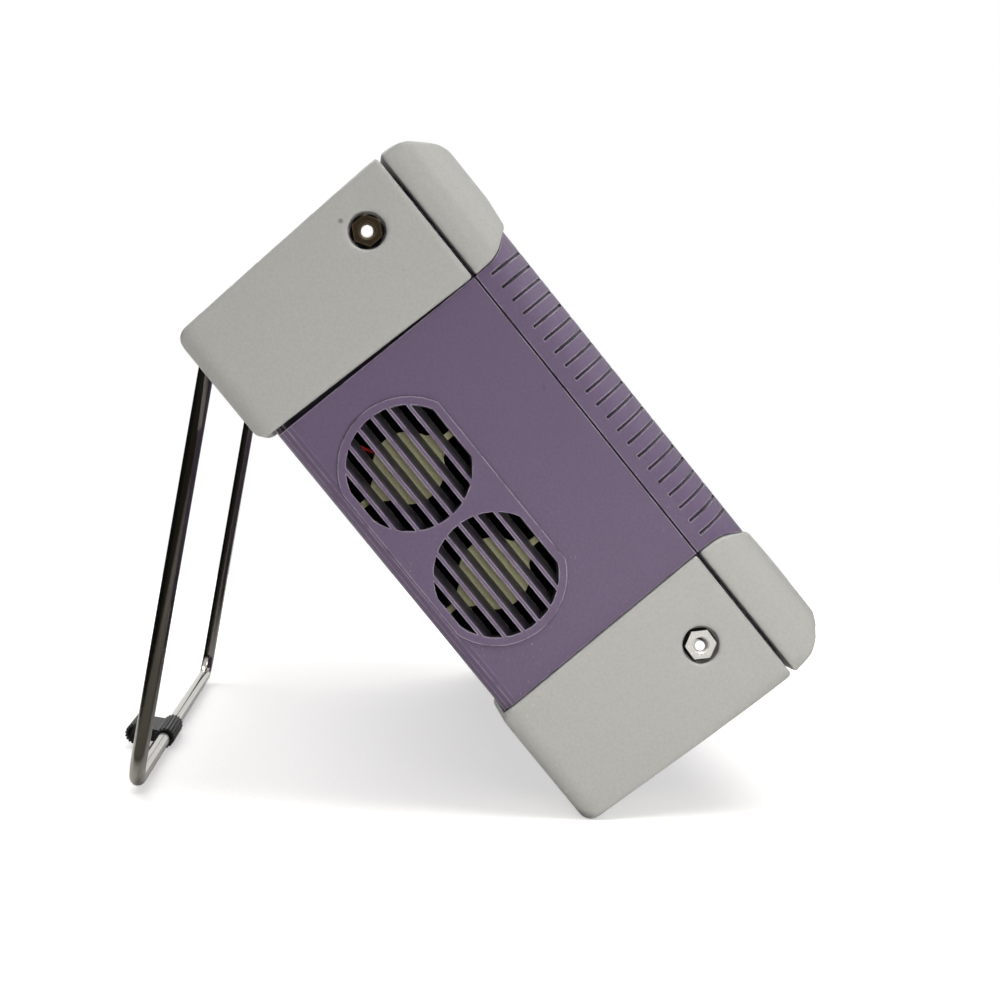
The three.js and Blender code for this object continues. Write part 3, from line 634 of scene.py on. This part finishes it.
def softNode(node, name, finish, body, slotName, voxel, passes):
    # A soft moulding: an even skin over the CAD shape, relaxed until its edges are round.
    mesh = meshOf(cleanCopy(node), name, None, False)
    piece = newPiece(name, mesh, finish, body, slotName, node)
    skin = piece.modifiers.new("skin", "REMESH")
    skin.mode = "VOXEL"
    skin.voxel_size = voxel
    relax = piece.modifiers.new("relax", "SMOOTH")
    relax.iterations = passes
    relax.factor = 0.5
    return settle(piece, 180.0)


def ringPoints(radius, count, turn=0.0):
    return [
        Vector((
            radius * math.cos(turn + 2 * math.pi * step / count),
            radius * math.sin(turn + 2 * math.pi * step / count)
        ))
        for step in range(count)
    ]


def turnedShape(profile, steps, bm=None):
    # Profile points are (radius, height); a radius may also be a function of the angle.
    bm = bm or bmesh.new()
    rings = []
    for radius, height in profile:
        if radius == 0:
            rings.append([bm.verts.new((0, 0, height))])
            continue
        ring = []
        for step in range(steps):
            angle = 2 * math.pi * step / steps
            reach = radius(angle) if callable(radius) else radius
            level = height(angle) if callable(height) else height
            ring.append(bm.verts.new((reach * math.cos(angle), reach * math.sin(angle), level)))
        rings.append(ring)
    for lower, upper in zip(rings, rings[1:]):
        for step in range(steps):
            ahead = (step + 1) % steps
            corners = [
                lower[step % len(lower)], lower[ahead % len(lower)], upper[ahead % len(upper)],
                upper[step % len(upper)]
            ]
            unique = list(dict.fromkeys(corners))
            if len(unique) > 2:
                bm.faces.new(unique)
    return bm


def addBox(bm, centre, size):
    corners = bmesh.ops.create_cube(bm, size=1.0)["verts"]
    bmesh.ops.scale(bm, vec=size, verts=corners)
    bmesh.ops.translate(bm, vec=centre, verts=corners)


def frameAt(place, axis):
    # A matrix in case millimetres that stands a turned shape at a place, along an axis.
    return Matrix.Translation(Vector(place)) @ Vector(axis).to_track_quat("Z", "Y").to_matrix().to_4x4()


# Geometry node trees for what repeats.

def newTree(name, inputs):
    tree = bpy.data.node_groups.new(name, "GeometryNodeTree")
    tree.interface.new_socket("Geometry", in_out="INPUT", socket_type="NodeSocketGeometry")
    for label, kind, value in inputs:
        made = tree.interface.new_socket(label, in_out="INPUT", socket_type=kind)
        if value is not None:
            made.default_value = value
    tree.interface.new_socket("Geometry", in_out="OUTPUT", socket_type="NodeSocketGeometry")
    return tree, tree.nodes.new("NodeGroupInput"), tree.nodes.new("NodeGroupOutput")


def nodeIn(tree, kind, **links):
    node = tree.nodes.new(kind)
    for label, source in links.items():
        socket = node.inputs[label.replace("_", " ")]
        if hasattr(source, "is_linked"):
            tree.links.new(source, socket)
        else:
            socket.default_value = source
    return node


def buildRibTree():
    # Straight ribs standing on a circle about Z, each a slim rounded bar.
    tree, given, made = newTree("standingRibs", [
        ("Count", "NodeSocketInt", 24), ("Radius", "NodeSocketFloat", 1.0),
        ("Length", "NodeSocketFloat", 1.0),
        ("Rib Width", "NodeSocketFloat", 0.1), ("Finish", "NodeSocketMaterial", None),
    ])
    circle = nodeIn(
        tree, "GeometryNodeMeshCircle", Vertices=given.outputs["Count"], Radius=given.outputs["Radius"]
    )
    place = tree.nodes.new("GeometryNodeInputPosition")
    turn = tree.nodes.new("FunctionNodeAlignRotationToVector")
    turn.axis = "X"
    turn.pivot_axis = "Z"
    tree.links.new(place.outputs[0], turn.inputs["Vector"])
    rib = nodeIn(
        tree, "GeometryNodeMeshCylinder", Vertices=6, Radius=given.outputs["Rib Width"],
        Depth=given.outputs["Length"]
    )
    spread = nodeIn(tree, "GeometryNodeInstanceOnPoints", Points=circle.outputs["Mesh"],
                    Instance=rib.outputs["Mesh"],
                    Rotation=turn.outputs["Rotation"])
    joined = tree.nodes.new("GeometryNodeJoinGeometry")
    tree.links.new(spread.outputs[0], joined.inputs[0])
    tree.links.new(given.outputs["Geometry"], joined.inputs[0])
    real = nodeIn(tree, "GeometryNodeRealizeInstances", Geometry=joined.outputs[0])
    paint = nodeIn(
        tree, "GeometryNodeSetMaterial", Geometry=real.outputs[0], Material=given.outputs["Finish"]
    )
    tree.links.new(paint.outputs[0], made.inputs["Geometry"])
    return tree


def buildThreadTree():
    # Thread crests: rings stacked up a stem at the pitch.
    tree, given, made = newTree("threadCrests", [
        ("Turns", "NodeSocketInt", 10), ("Pitch", "NodeSocketFloat", 1.0), ("Radius", "NodeSocketFloat", 5.0),
        ("Start", "NodeSocketFloat", 0.0), ("Finish", "NodeSocketMaterial", None),
    ])
    step = tree.nodes.new("ShaderNodeCombineXYZ")
    tree.links.new(given.outputs["Pitch"], step.inputs["Z"])
    first = tree.nodes.new("ShaderNodeCombineXYZ")
    tree.links.new(given.outputs["Start"], first.inputs["Z"])
    stack = tree.nodes.new("GeometryNodeMeshLine")
    tree.links.new(given.outputs["Turns"], stack.inputs["Count"])
    tree.links.new(first.outputs[0], stack.inputs["Start Location"])
    tree.links.new(step.outputs[0], stack.inputs["Offset"])
    crest = nodeIn(tree, "GeometryNodeCurvePrimitiveCircle", Resolution=48, Radius=given.outputs["Radius"])
    bead = tree.nodes.new("GeometryNodeCurvePrimitiveCircle")
    bead.inputs["Resolution"].default_value = 6
    third = tree.nodes.new("ShaderNodeMath")
    third.operation = "MULTIPLY"
    third.inputs[1].default_value = 0.36
    tree.links.new(given.outputs["Pitch"], third.inputs[0])
    tree.links.new(third.outputs[0], bead.inputs["Radius"])
    ring = nodeIn(tree, "GeometryNodeCurveToMesh", Curve=crest.outputs[0])
    tree.links.new(bead.outputs[0], ring.inputs["Profile Curve"])
    spread = nodeIn(tree, "GeometryNodeInstanceOnPoints", Points=stack.outputs[0], Instance=ring.outputs[0])
    joined = tree.nodes.new("GeometryNodeJoinGeometry")
    tree.links.new(spread.outputs[0], joined.inputs[0])
    tree.links.new(given.outputs["Geometry"], joined.inputs[0])
    real = nodeIn(tree, "GeometryNodeRealizeInstances", Geometry=joined.outputs[0])
    paint = nodeIn(
        tree, "GeometryNodeSetMaterial", Geometry=real.outputs[0], Material=given.outputs["Finish"]
    )
    tree.links.new(paint.outputs[0], made.inputs["Geometry"])
    return tree


def grownMesh(baseMesh, tree, **values):
    # Runs a tree on a mesh and gives back the plain result.
    holder = bpy.data.objects.new("holder", baseMesh)
    bpy.context.scene.collection.objects.link(holder)
    grow = holder.modifiers.new("grow", "NODES")
    grow.node_group = tree
    sockets = {item.name: item.identifier for item in tree.interface.items_tree if item.in_out == "INPUT"}
    for label, value in values.items():
        grow[sockets[label.replace("_", " ")]] = value
    graph = bpy.context.evaluated_depsgraph_get()
    mesh = bpy.data.meshes.new_from_object(holder.evaluated_get(graph))
    bpy.data.objects.remove(holder)
    return mesh


ribTree = buildRibTree()
threadTree = buildThreadTree()


# Case halves, bumpers and gasket.

shellDesign = {"rearEdge": 0.00045, "frontEdge": 0.0003, "bumperSkin": 0.0006, "bumperPasses": 7}


def makeCase():
    bevelledNode("rear_shell", "rearShell", "casePurple", case, "case_plastic", shellDesign["rearEdge"], 3)
    bevelledNode("front_shell", "frontShell", "casePurple", case, "case_plastic", shellDesign["frontEdge"], 2)
    bevelledNode("battery_door", "batteryDoor", "casePurple", case, "case_plastic", 0.0004)
    bevelledNode("seam_gasket", "seamGasket", "gasketBlack", case, "black_plastic", 0.0002)
    for half in ("rear", "front"):
        for level in ("top", "bottom"):
            for side in ("left", "right"):
                softNode(
                    f"{half}_bumper_{level}_{side}", f"{half}Bumper{level.title()}{side.title()}",
                    "bumperGrey",
                    case, "bumper_rubber", shellDesign["bumperSkin"], shellDesign["bumperPasses"],
                )
    print("case halves and bumpers ready")


# Threaded inserts.

insertDesign = {
    "flats": 8.0, "length": 8.0, "bore": 2.1, "face": 176.9, "chamferFrom": 1.06, "chamferSlope": 0.42,
    "threadPitch": 0.7, "threadDepth": 0.22, "recess": 5.38, "recessDepth": 2.3, "recessStart": -0.35,
    "tipDepth": 1.5, "tipRadius": {"top": 1.72, "bottom": 1.45},
    "tipShift": {"top": (0.0, 0.0), "bottom": (-0.25, -0.37)},
    "top": (15.6, 175.4), "bottom": (15.8, 24.5), "turn": {"top": 0.02, "bottom": 0.47},
}


def hexReach(angle, flats):
    sixth = math.pi / 3
    return (flats / 2) / math.cos((angle % sixth) - sixth / 2)


def threadedBore(design):
    # Profile of the bore from the bottom up: little crests at the thread pitch, then a chamfer.
    bore, depth = design["bore"], design["threadDepth"]
    profile = [(0, -5.0), (bore, -5.0)]
    for turn in range(5):
        level = -4.4 + turn * design["threadPitch"]
        profile += [(bore - depth, level), (bore, level + design["threadPitch"] / 2)]
    return profile + [(bore, -0.45), (bore + 0.45, 0)]


def makeInsert(level, sideName, side):
    design = insertDesign
    y, z = design[level]
    apothem = design["flats"] / 2
    start = apothem * design["chamferFrom"]

    def crownReach(angle):
        return min(hexReach(angle, design["flats"]), start)

    def lowered(angle):
        return -max(0.0, hexReach(angle, design["flats"]) - start) * design["chamferSlope"]

    def fullReach(angle):
        return hexReach(angle, design["flats"])

    profile = threadedBore(design) + [
        (crownReach, 0), (fullReach, lowered), (fullReach, -design["length"]), (0, -design["length"]),
    ]
    bm = turnedShape(profile, 72)
    name = f"threadInsert{level.title()}{sideName.title()}"
    stand = frameAt((side * design["face"], y, z), (side, 0, 0))
    twist = Matrix.Rotation(design["turn"][level], 4, "Z")
    mesh = meshOf(bm, name, fromCase @ stand @ twist)
    finish, slotName = ("agedBronze", "aged_bronze") if level == "top" else ("brightNickel", "bright_nickel")
    piece = newPiece(name, mesh, finish, case, slotName, f"thread_insert_{level}_{sideName}")
    settle(piece, 14.0)
    shift = Matrix.Translation((*design["tipShift"][level], 0))
    depth, tipRadius = design["tipDepth"], design["tipRadius"][level]
    tip = turnedShape(
        [(0, -depth), (tipRadius - 0.15, -depth), (tipRadius, -depth - 0.15), (tipRadius, -5), (0, -5)], 28
    )
    tipName = f"screwTip{level.title()}{sideName.title()}"
    tipMesh = meshOf(tip, tipName, fromCase @ stand @ shift)
    settle(newPiece(tipName, tipMesh, "screwTip", case, "bright_nickel"), 40.0)
    # A black cup lines the recess round the insert: painted shade in the deep gap between the hex and the
    # bumper.
    recess, deep, top = design["recess"], design["recessDepth"], design["recessStart"]
    cup = turnedShape([(recess, top), (recess, -deep), (apothem, -deep), (apothem, -deep - 0.1),
                       (recess + 0.1, -deep - 0.1), (recess + 0.1, top), (recess, top)], 60)
    cupName = f"insertRecess{level.title()}{sideName.title()}"
    settle(newPiece(
        cupName, meshOf(cup, cupName, fromCase @ stand), "gasketBlack", case, "black_plastic"
    ), 30.0)


def makeInserts():
    for level in ("top", "bottom"):
        for sideName, side in (("left", -1), ("right", 1)):
            makeInsert(level, sideName, side)
    print("thread inserts ready")


# Bail and its sleeve.

bailDesign = {
    "wire": 2.45, "legX": 132.5, "pinEnd": 118.0, "bend": 9.0, "pinBend": 5.0, "splay": 9.6,
    "sleeveRadius": 3.7, "sleeveLength": 33.0, "sleeveX": -33.0, "spacing": 10.0,
    "ridges": 18, "ridgeRadius": 0.46,
}
fromBail = Matrix.Translation(bailPivot) @ Matrix.Rotation(
    math.radians(bailDesign["splay"]), 4, "X"
) @ millimetre
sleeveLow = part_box("bail_sleeve")[0].z
legLength = (
    (bailPivot.z - sleeveLow) * 1000 - bailDesign["sleeveRadius"]
) / math.cos(math.radians(bailDesign["splay"]))


def bendPath(corners, steps):
    # Corner points (place, bend radius) become a path with true arcs at its right-angled bends.
    path = []
    for index, (corner, radius) in enumerate(corners):
        if not radius:
            path.append(corner)
            continue
        back = (corners[index - 1][0] - corner).normalized()
        ahead = (corners[index + 1][0] - corner).normalized()
        centre = corner + radius * (back + ahead)
        for step in range(steps + 1):
            angle = step / steps * math.pi / 2
            path.append(centre - radius * (math.cos(angle) * ahead + math.sin(angle) * back))
    return path


def tubeAlong(path, radius, sides, bm=None):
    bm = bm or bmesh.new()
    rings = []
    side = None
    for index, point in enumerate(path):
        before = path[max(index - 1, 0)]
        after = path[min(index + 1, len(path) - 1)]
        ahead = (after - before).normalized()
        side = (side - side.dot(ahead) * ahead).normalized() if side else ahead.orthogonal().normalized()
        other = ahead.cross(side)
        rings.append(
            [bm.verts.new(point + spot.x * side + spot.y * other) for spot in ringPoints(radius, sides)]
        )
    for first, second in zip(rings, rings[1:]):
        for step in range(sides):
            ahead = (step + 1) % sides
            bm.faces.new((first[step], first[ahead], second[ahead], second[step]))
    bm.faces.new(rings[0])
    bm.faces.new(rings[-1])
    return bm


def makeBail():
    design = bailDesign
    legX, pinEnd = design["legX"], design["pinEnd"]
    corners = [
        (Vector((-pinEnd, 0, 0)), 0), (Vector((-legX, 0, 0)), design["pinBend"]),
        (Vector((-legX, 0, -legLength)), design["bend"]), (Vector((legX, 0, -legLength)), design["bend"]),
        (Vector((legX, 0, 0)), design["pinBend"]), (Vector((pinEnd, 0, 0)), 0),
    ]
    bm = tubeAlong(bendPath(corners, 14), design["wire"], 40)
    wire = newPiece("bailWire", meshOf(bm, "bailWire", fromBail), "bailNickel", "bail", "bail_wire", "bail")
    settle(wire, 50.0)
    makeSleeve()
    for sideName in ("left", "right"):
        bevelledNode(
            f"bail_saddle_{sideName}", f"bailSaddle{sideName.title()}", "blackPlastic", case, "black_plastic",
            0.0005, 3
        )
    print("bail ready")


def makeSleeve():
    # Two ridged barrels side by side, one gripping the crossbar, joined by a web.
    design = bailDesign
    half = design["sleeveLength"] / 2
    ridge = design["ridgeRadius"]
    outer, inner = design["sleeveRadius"] - ridge - 0.05, design["wire"] + 0.15
    pieces = bmesh.new()
    for offset in (0.0, design["spacing"]):
        profile = [
            (inner, -half), (outer - 0.2, -half), (outer, -half + 0.4), (outer, half - 0.4),
            (outer - 0.2, half),
            (inner, half), (inner, -half),
        ]
        barrel = turnedShape(profile, 40)
        bmesh.ops.remove_doubles(barrel, verts=barrel.verts, dist=1e-5)
        base = meshOf(barrel, "barrel", None)
        ribbed = grownMesh(base, ribTree, Count=design["ridges"], Radius=outer, Length=2 * half - 0.6,
                           Rib_Width=ridge, Finish=materials["sleeveRubber"])
        ribbed.transform(frameAt((design["sleeveX"], offset, -legLength), (1, 0, 0)))
        pieces.from_mesh(ribbed)
    webSize = (2 * half - 5, design["spacing"] - 2 * inner, 4.2)
    addBox(pieces, (design["sleeveX"], design["spacing"] / 2, -legLength), webSize)
    mesh = meshOf(pieces, "bailSleeve", fromBail, False)
    piece = newPiece("bailSleeve", mesh, "sleeveRubber", "bail", "black_plastic", "bail_sleeve")
    settle(piece, 40.0)


# Fans behind the vents.

fanDesign = {
    "y": 48.5, "levels": {"upper": 116.4, "lower": 77.4}, "outerX": -170.2, "size": 38.0, "depth": 10.0,
    "hub": 10.4, "tab": 14.2, "strut": 1.0,
    "screen": {"x": (168.3, 169.1), "y": (29.0, 67.0), "z": (57.0, 137.0)},
}


def makeFan(level):
    design = fanDesign
    z, half = design["levels"][level], design["size"] / 2
    bm = bmesh.new()
    steps = 64
    layers = []
    for x in (0.0, design["depth"]):
        inner, outer = [], []
        for spot in ringPoints(1.0, steps, math.pi / steps):
            reach = half / max(abs(spot.x), abs(spot.y))
            inner.append(bm.verts.new((*(spot * (half - 1.2)), x)))
            outer.append(bm.verts.new((*(spot * reach), x)))
        layers.append((inner, outer))
    (innerA, outerA), (innerB, outerB) = layers
    for step in range(steps):
        ahead = (step + 1) % steps
        for first, second in ((innerA, outerA), (outerA, outerB), (outerB, innerB), (innerB, innerA)):
            bm.faces.new((first[step], first[ahead], second[ahead], second[step]))
    stand = frameAt((design["outerX"], design["y"], z), (1, 0, 0))
    name = f"fanHousing{level.title()}"
    for way in (-1, 1):
        addBox(bm, (-0.7, way * (half + design["hub"]) / 2, 2.4), (1.4, half - design["hub"], 1.0))
    housing = newPiece(
        name, meshOf(bm, name, fromCase @ stand), "fanBlack", case, "black_plastic", f"fan_frame_{level}"
    )
    settle(housing, 30.0)
    makeStator(level, stand)
    bevelledNode(
        f"fan_rotor_{level}", f"fanRotor{level.title()}", "fanBlack", f"{level}_rotor", "black_plastic",
        0.00025
    )


def makeStator(level, stand):
    # The disc that carries the motor: two pointed tabs run out into slim struts towards the rim.
    design = fanDesign
    rim = design["size"] / 2 - 0.6
    outline = []
    steps = 96
    for step in range(steps):
        angle = 2 * math.pi * step / steps
        reach = design["hub"]
        for tab in (0.0, math.pi):
            away = abs(math.atan2(math.sin(angle - tab), math.cos(angle - tab)))
            reach = max(reach, design["tab"] - away * 9.5)
        outline.append((reach * math.cos(angle), reach * math.sin(angle)))
    bm = bmesh.new()
    bottom = [bm.verts.new((a, b, 0.1)) for a, b in outline]
    top = [bm.verts.new((a, b, 1.5)) for a, b in outline]
    bm.faces.new(bottom)
    bm.faces.new(top)
    for step in range(steps):
        ahead = (step + 1) % steps
        bm.faces.new((bottom[step], bottom[ahead], top[ahead], top[step]))
    for way in (-1, 1):
        addBox(bm, (way * (rim + design["hub"] - 1) / 2, 0, 0.8), (
            rim - design["hub"] + 1, 2 * design["strut"], 1.2
        ))
    name = f"fanStator{level.title()}"
    piece = newPiece(name, meshOf(bm, name, fromCase @ stand), "statorKhaki", case, "fan_khaki")
    bevelled(piece, 0.00015)
    settle(piece, 40.0)


def makeShadeSheet():
    # A black sheet inside the intake vents on the far side, painted shade for the inside of the case, so the
    # case is not see-through.
    low, high = zip(*(fanDesign["screen"][axis] for axis in "xyz"))
    low, high = Vector(low), Vector(high)
    bm = bmesh.new()
    addBox(bm, (low + high) / 2, high - low)
    sheet = newPiece("shadeSheet", meshOf(bm, "shadeSheet"), "gasketBlack", case, "black_plastic")
    bevelled(sheet, 0.0002)
    settle(sheet)


leadDesign = {
    "path": [(0, 4, 8), (-0.2, 6, 11.8), (0, 7.6, 14.6), (0.5, 8.4, 16.6)],  # mm from the fan's middle
    "radius": 0.45, "sides": 12,
}


def makeFans():
    for level in fanDesign["levels"]:
        makeFan(level)
    makeShadeSheet()
    y, z, x = fanDesign["y"], fanDesign["levels"]["upper"], fanDesign["outerX"] + 0.9
    lead = [Vector((x + across, y + back, z + up)) for across, back, up in leadDesign["path"]]
    mesh = meshOf(tubeAlong(lead, leadDesign["radius"], leadDesign["sides"]), "fanLead")
    settle(newPiece("fanLead", mesh, "leadRed", case, "fan_khaki"), 60.0)
    print("fans ready")


# Front panel.

panelDesign = {
    "keyEdge": 0.0006, "legendHeight": 5.2, "legendProud": 0.06, "keyFace": -18.2,
    "mask": {
        "depths": (-14.76, -14.6), "outer": (-132.6, 15.9, 24.4, 167.6), "inner": (-124.6, 7.6, 47.4, 148.6)
    },
}
digitLegends = {"key_0": "0", "key_1": "1", "key_2": "2", "key_3": "3", "key_4": "4", "key_5": "5",
                "key_6": "6",
                "key_7": "7", "key_8": "8", "key_9": "9", "key_point": ".", "key_sign": "+/-"}


def caseCentre(node):
    low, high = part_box(node)
    return fromCase.inverted() @ ((low + high) / 2)


def makeLegend(node, words):
    curve = bpy.data.curves.new("legend", "FONT")
    curve.body = words
    curve.size = panelDesign["legendHeight"] * (0.8 if len(words) > 1 else 1.25)
    curve.align_x = "CENTER"
    curve.align_y = "CENTER"
    curve.extrude = panelDesign["legendProud"]
    curve.resolution_u = 4
    holder = bpy.data.objects.new("legend", curve)
    bpy.context.scene.collection.objects.link(holder)
    graph = bpy.context.evaluated_depsgraph_get()
    mesh = bpy.data.meshes.new_from_object(holder.evaluated_get(graph))
    bpy.data.objects.remove(holder)
    centre = caseCentre(node)
    facing = Matrix.Translation(
        (centre.x, panelDesign["keyFace"], centre.z)
    ) @ Matrix.Rotation(math.pi / 2, 4, "X")
    mesh.transform(fromCase @ facing)
    newPiece("legend_" + node, mesh, "legendWhite", node, "key_plastic")


powerDesign = {
    "radius": 1.9, "wire": 0.22, "start": 40, "sweep": 280, "steps": 24, "stem": (0.4, 2.6)
}  # mm, degrees


def makePowerSymbol():
    centre = caseCentre("power_key")
    reach, wire, steps = powerDesign["radius"], powerDesign["wire"], powerDesign["steps"]
    turns = [
        math.radians(powerDesign["start"] + powerDesign["sweep"] * step / steps) for step in range(steps + 1)
    ]
    arc = [Vector((reach * math.sin(turn), 0, reach * math.cos(turn))) for turn in turns]
    bm = tubeAlong(arc, wire, 8)
    tubeAlong([Vector((0, 0, height)) for height in powerDesign["stem"]], wire, 8, bm)
    bmesh.ops.translate(bm, vec=(centre.x, panelDesign["keyFace"] + 0.1, centre.z), verts=bm.verts)
    newPiece("powerSymbol", meshOf(bm, "powerSymbol"), "legendWhite", "power_key", "key_plastic")


def makeFrontPanel():
    bevelledNode("display_window", "displayWindow", "windowGlass", case, "window_glass", 0.0003)
    bevelledNode("lcd_module", "displayModule", "screenDark", case, "screen_black", 0.0004)
    bevelledNode("keypad_overlay", "keypadOverlay", "overlayFilm", case, "overlay_film", 0.0002)
    left, right, low, high = panelDesign["mask"]["outer"]
    screenLeft, screenRight, screenLow, screenHigh = panelDesign["mask"]["inner"]
    bm = bmesh.new()
    outer = [(left, low), (right, low), (right, high), (left, high)]
    inner = [
        (screenLeft, screenLow), (screenRight, screenLow), (screenRight, screenHigh), (screenLeft, screenHigh)
    ]
    rows = [
        [
            bm.verts.new((x, y, z)) for x, z in ring
        ] for y in panelDesign["mask"]["depths"] for ring in (outer, inner)
    ]
    for step in range(4):
        ahead = (step + 1) % 4
        for first, second in ((0, 1), (1, 3), (3, 2), (2, 0)):
            bm.faces.new((rows[first][step], rows[first][ahead], rows[second][ahead], rows[second][step]))
    newPiece("windowMask", meshOf(bm, "windowMask"), "gasketBlack", case, "window_glass")
    keys = [name for name in frame["bodies"] if name.startswith(("key_", "softkey_", "power_key"))]
    for key in keys:
        finish = "keyGrey" if key.startswith("key_") else "softkeyDark"
        bevelledNode(key, f"cap_{key}", finish, key, "key_plastic", panelDesign["keyEdge"], 4)
    for key, words in digitLegends.items():
        makeLegend(key, words)
    makePowerSymbol()
    print("front panel ready")


# Knob.

knobDesign = {"place": (104.0, 144.0), "radius": 14.0, "face": 16.6, "height": 12.0, "ribs": 40}


def makeKnob():
    design = knobDesign
    x, z = design["place"]
    radius, base, top = design["radius"], design["face"], design["face"] + design["height"]
    profile = [
        (0, 3.2), (3, 3.2), (3, base), (radius - 0.8, base), (radius - 0.35, base + 0.4),
        (radius - 0.35, top - 1.8),
        (radius - 0.8, top - 0.8), (radius - 1.7, top - 0.15), (radius - 2.6, top - 0.1),
        (radius - 3.2, top - 0.7),
        (radius - 4.5, top - 0.9), (0, top - 1.0),
    ]
    base = meshOf(turnedShape(profile, 96), "knobBody", None)
    mesh = grownMesh(base, ribTree, Count=design["ribs"], Radius=radius - 0.45, Length=design["height"] - 3.4,
                     Rib_Width=0.44, Finish=materials["blackPlastic"])
    middle = design["face"] + design["height"] / 2 - 0.4
    bm = bmesh.new()
    bm.from_mesh(mesh)
    ribs = [
        vert for vert in bm.verts if abs(
            vert.co.z
        ) <= design["height"] / 2 and vert.co.xy.length > radius - 1.2
    ]
    bmesh.ops.translate(bm, vec=(0, 0, middle), verts=ribs)
    piece = newPiece("tuningKnob", meshOf(bm, "tuningKnob", fromCase @ frameAt((x, 0, z), (0, -1, 0)), False),
                     "blackPlastic", "knob", "black_plastic", "tuning_knob")
    settle(piece, 35.0)
    bm = tubeAlong([Vector((0, 0, 0)), Vector((0, 0, 3.6))], 0.45, 10)
    bmesh.ops.transform(bm, matrix=Matrix.Translation((x, -top + 0.85, z + radius - 7.6)), verts=bm.verts)
    newPiece("knobMark", meshOf(bm, "knobMark"), "legendWhite", "knob", "black_plastic")
    print("knob ready")


# Sockets on the top.

socketDesign = {
    "y": 36.0,
    "coaxial": {
        "reference_socket": {"x": 26.0, "thread": 5.8, "height": 12.0, "pitch": 0.8},
        "rf_output": {"x": 62.0, "thread": 7.8, "height": 17.0, "pitch": 1.0},
        "rf_input": {"x": 104.0, "thread": 7.8, "height": 17.0, "pitch": 1.0},
    },
    "pin": 0.8, "insulator": 0.62,
}


def makeCoaxial(node, look):
    thread, height = look["thread"], look["height"]
    bore, flange = thread - 1.6, thread + 3
    stem = thread - 0.3
    profile = [
        (0, -10), (3, -10), (3, -4), (thread - 0.4, -4), (thread - 0.4, 0.3), (flange, 0.3), (flange, 1.0),
        (flange - 0.3, 1.3),
        (lambda angle: hexReach(angle, 2 * thread + 3.2), 1.3),
        (lambda angle: hexReach(angle, 2 * thread + 3.2), 3.4),
        (thread + 1.0, 3.9), (stem, 3.9), (stem, height - 0.6), (stem - 0.5, height), (bore + 0.3, height),
        (bore, height - 0.4), (bore, 3.05), (0, 3.05),
    ]
    base = meshOf(turnedShape(profile, 60), "stem", None)
    turns = int((height - 5.5) / look["pitch"])
    mesh = grownMesh(base, threadTree, Turns=turns, Pitch=look["pitch"], Radius=stem, Start=4.6,
                     Finish=materials["brightNickel"])
    stand = fromCase @ frameAt((look["x"], socketDesign["y"], caseDesign["topFace"]), (0, 0, 1))
    mesh.transform(stand)
    name = "".join(part.title() for part in node.split("_"))
    settle(newPiece("socket" + name, mesh, "brightNickel", case, "bright_nickel", node), 30.0)
    insulator = turnedShape([(0, 3.06), (bore * socketDesign["insulator"], 3.06),
                             (bore * socketDesign["insulator"], 5.4),
                             (bore * socketDesign["insulator"] - 0.3, 5.7), (1.3, 5.7), (0, 5.7)], 36)
    settle(newPiece(
        "insulator" + name, meshOf(insulator, "insulator", stand), "legendWhite", case, "black_plastic"
    ), 30.0)
    pin = turnedShape([(0, 5.6), (socketDesign["pin"], 5.6), (socketDesign["pin"], height - 3.4),
                       (socketDesign["pin"] - 0.3, height - 3), (0.35, height - 3), (0.35, height - 5),
                       (0, height - 5)], 24)
    settle(newPiece(
        "contact" + name, meshOf(pin, "contact", stand), "agedBronze", case, "bright_nickel"
    ), 30.0)


def makeSockets():
    for node, look in socketDesign["coaxial"].items():
        makeCoaxial(node, look)
    bevelledNode("dc_inlet", "powerInlet", "blackPlastic", case, "black_plastic", 0.0003)
    bevelledNode("lan_socket", "networkSocket", "tinnedSteel", case, "tin_shield", 0.0003)
    print("sockets ready")


# Inside.

innerLooks = {
    "keypad_board": ("keypadBoard", "boardGreen", "circuit_board"),
    "main_board": ("mainBoard", "boardGreen", "circuit_board"),
    "rf_module": ("shieldedModule", "tinnedSteel", "tin_shield"),
    # The heat sink is coloured black as painted shade, so the inside of the case looks dark.
    "heat_sink": ("heatSink", "heatSinkShadeBlack", "tin_shield"),
    "battery_pack": ("batteryPack", "blackPlastic", "black_plastic"),
    "knob_encoder": ("knobEncoder", "tinnedSteel", "tin_shield"),
}


def makeInside():
    for node, (name, finish, slotName) in innerLooks.items():
        bevelledNode(node, name, finish, case, slotName, 0.0003)
    print("inside ready")


makeCamera()
makeLights()
makeWorld()
makeFloor()
makeCase()
makeInserts()
makeBail()
makeFans()
makeFrontPanel()
makeKnob()
makeSockets()
makeInside()
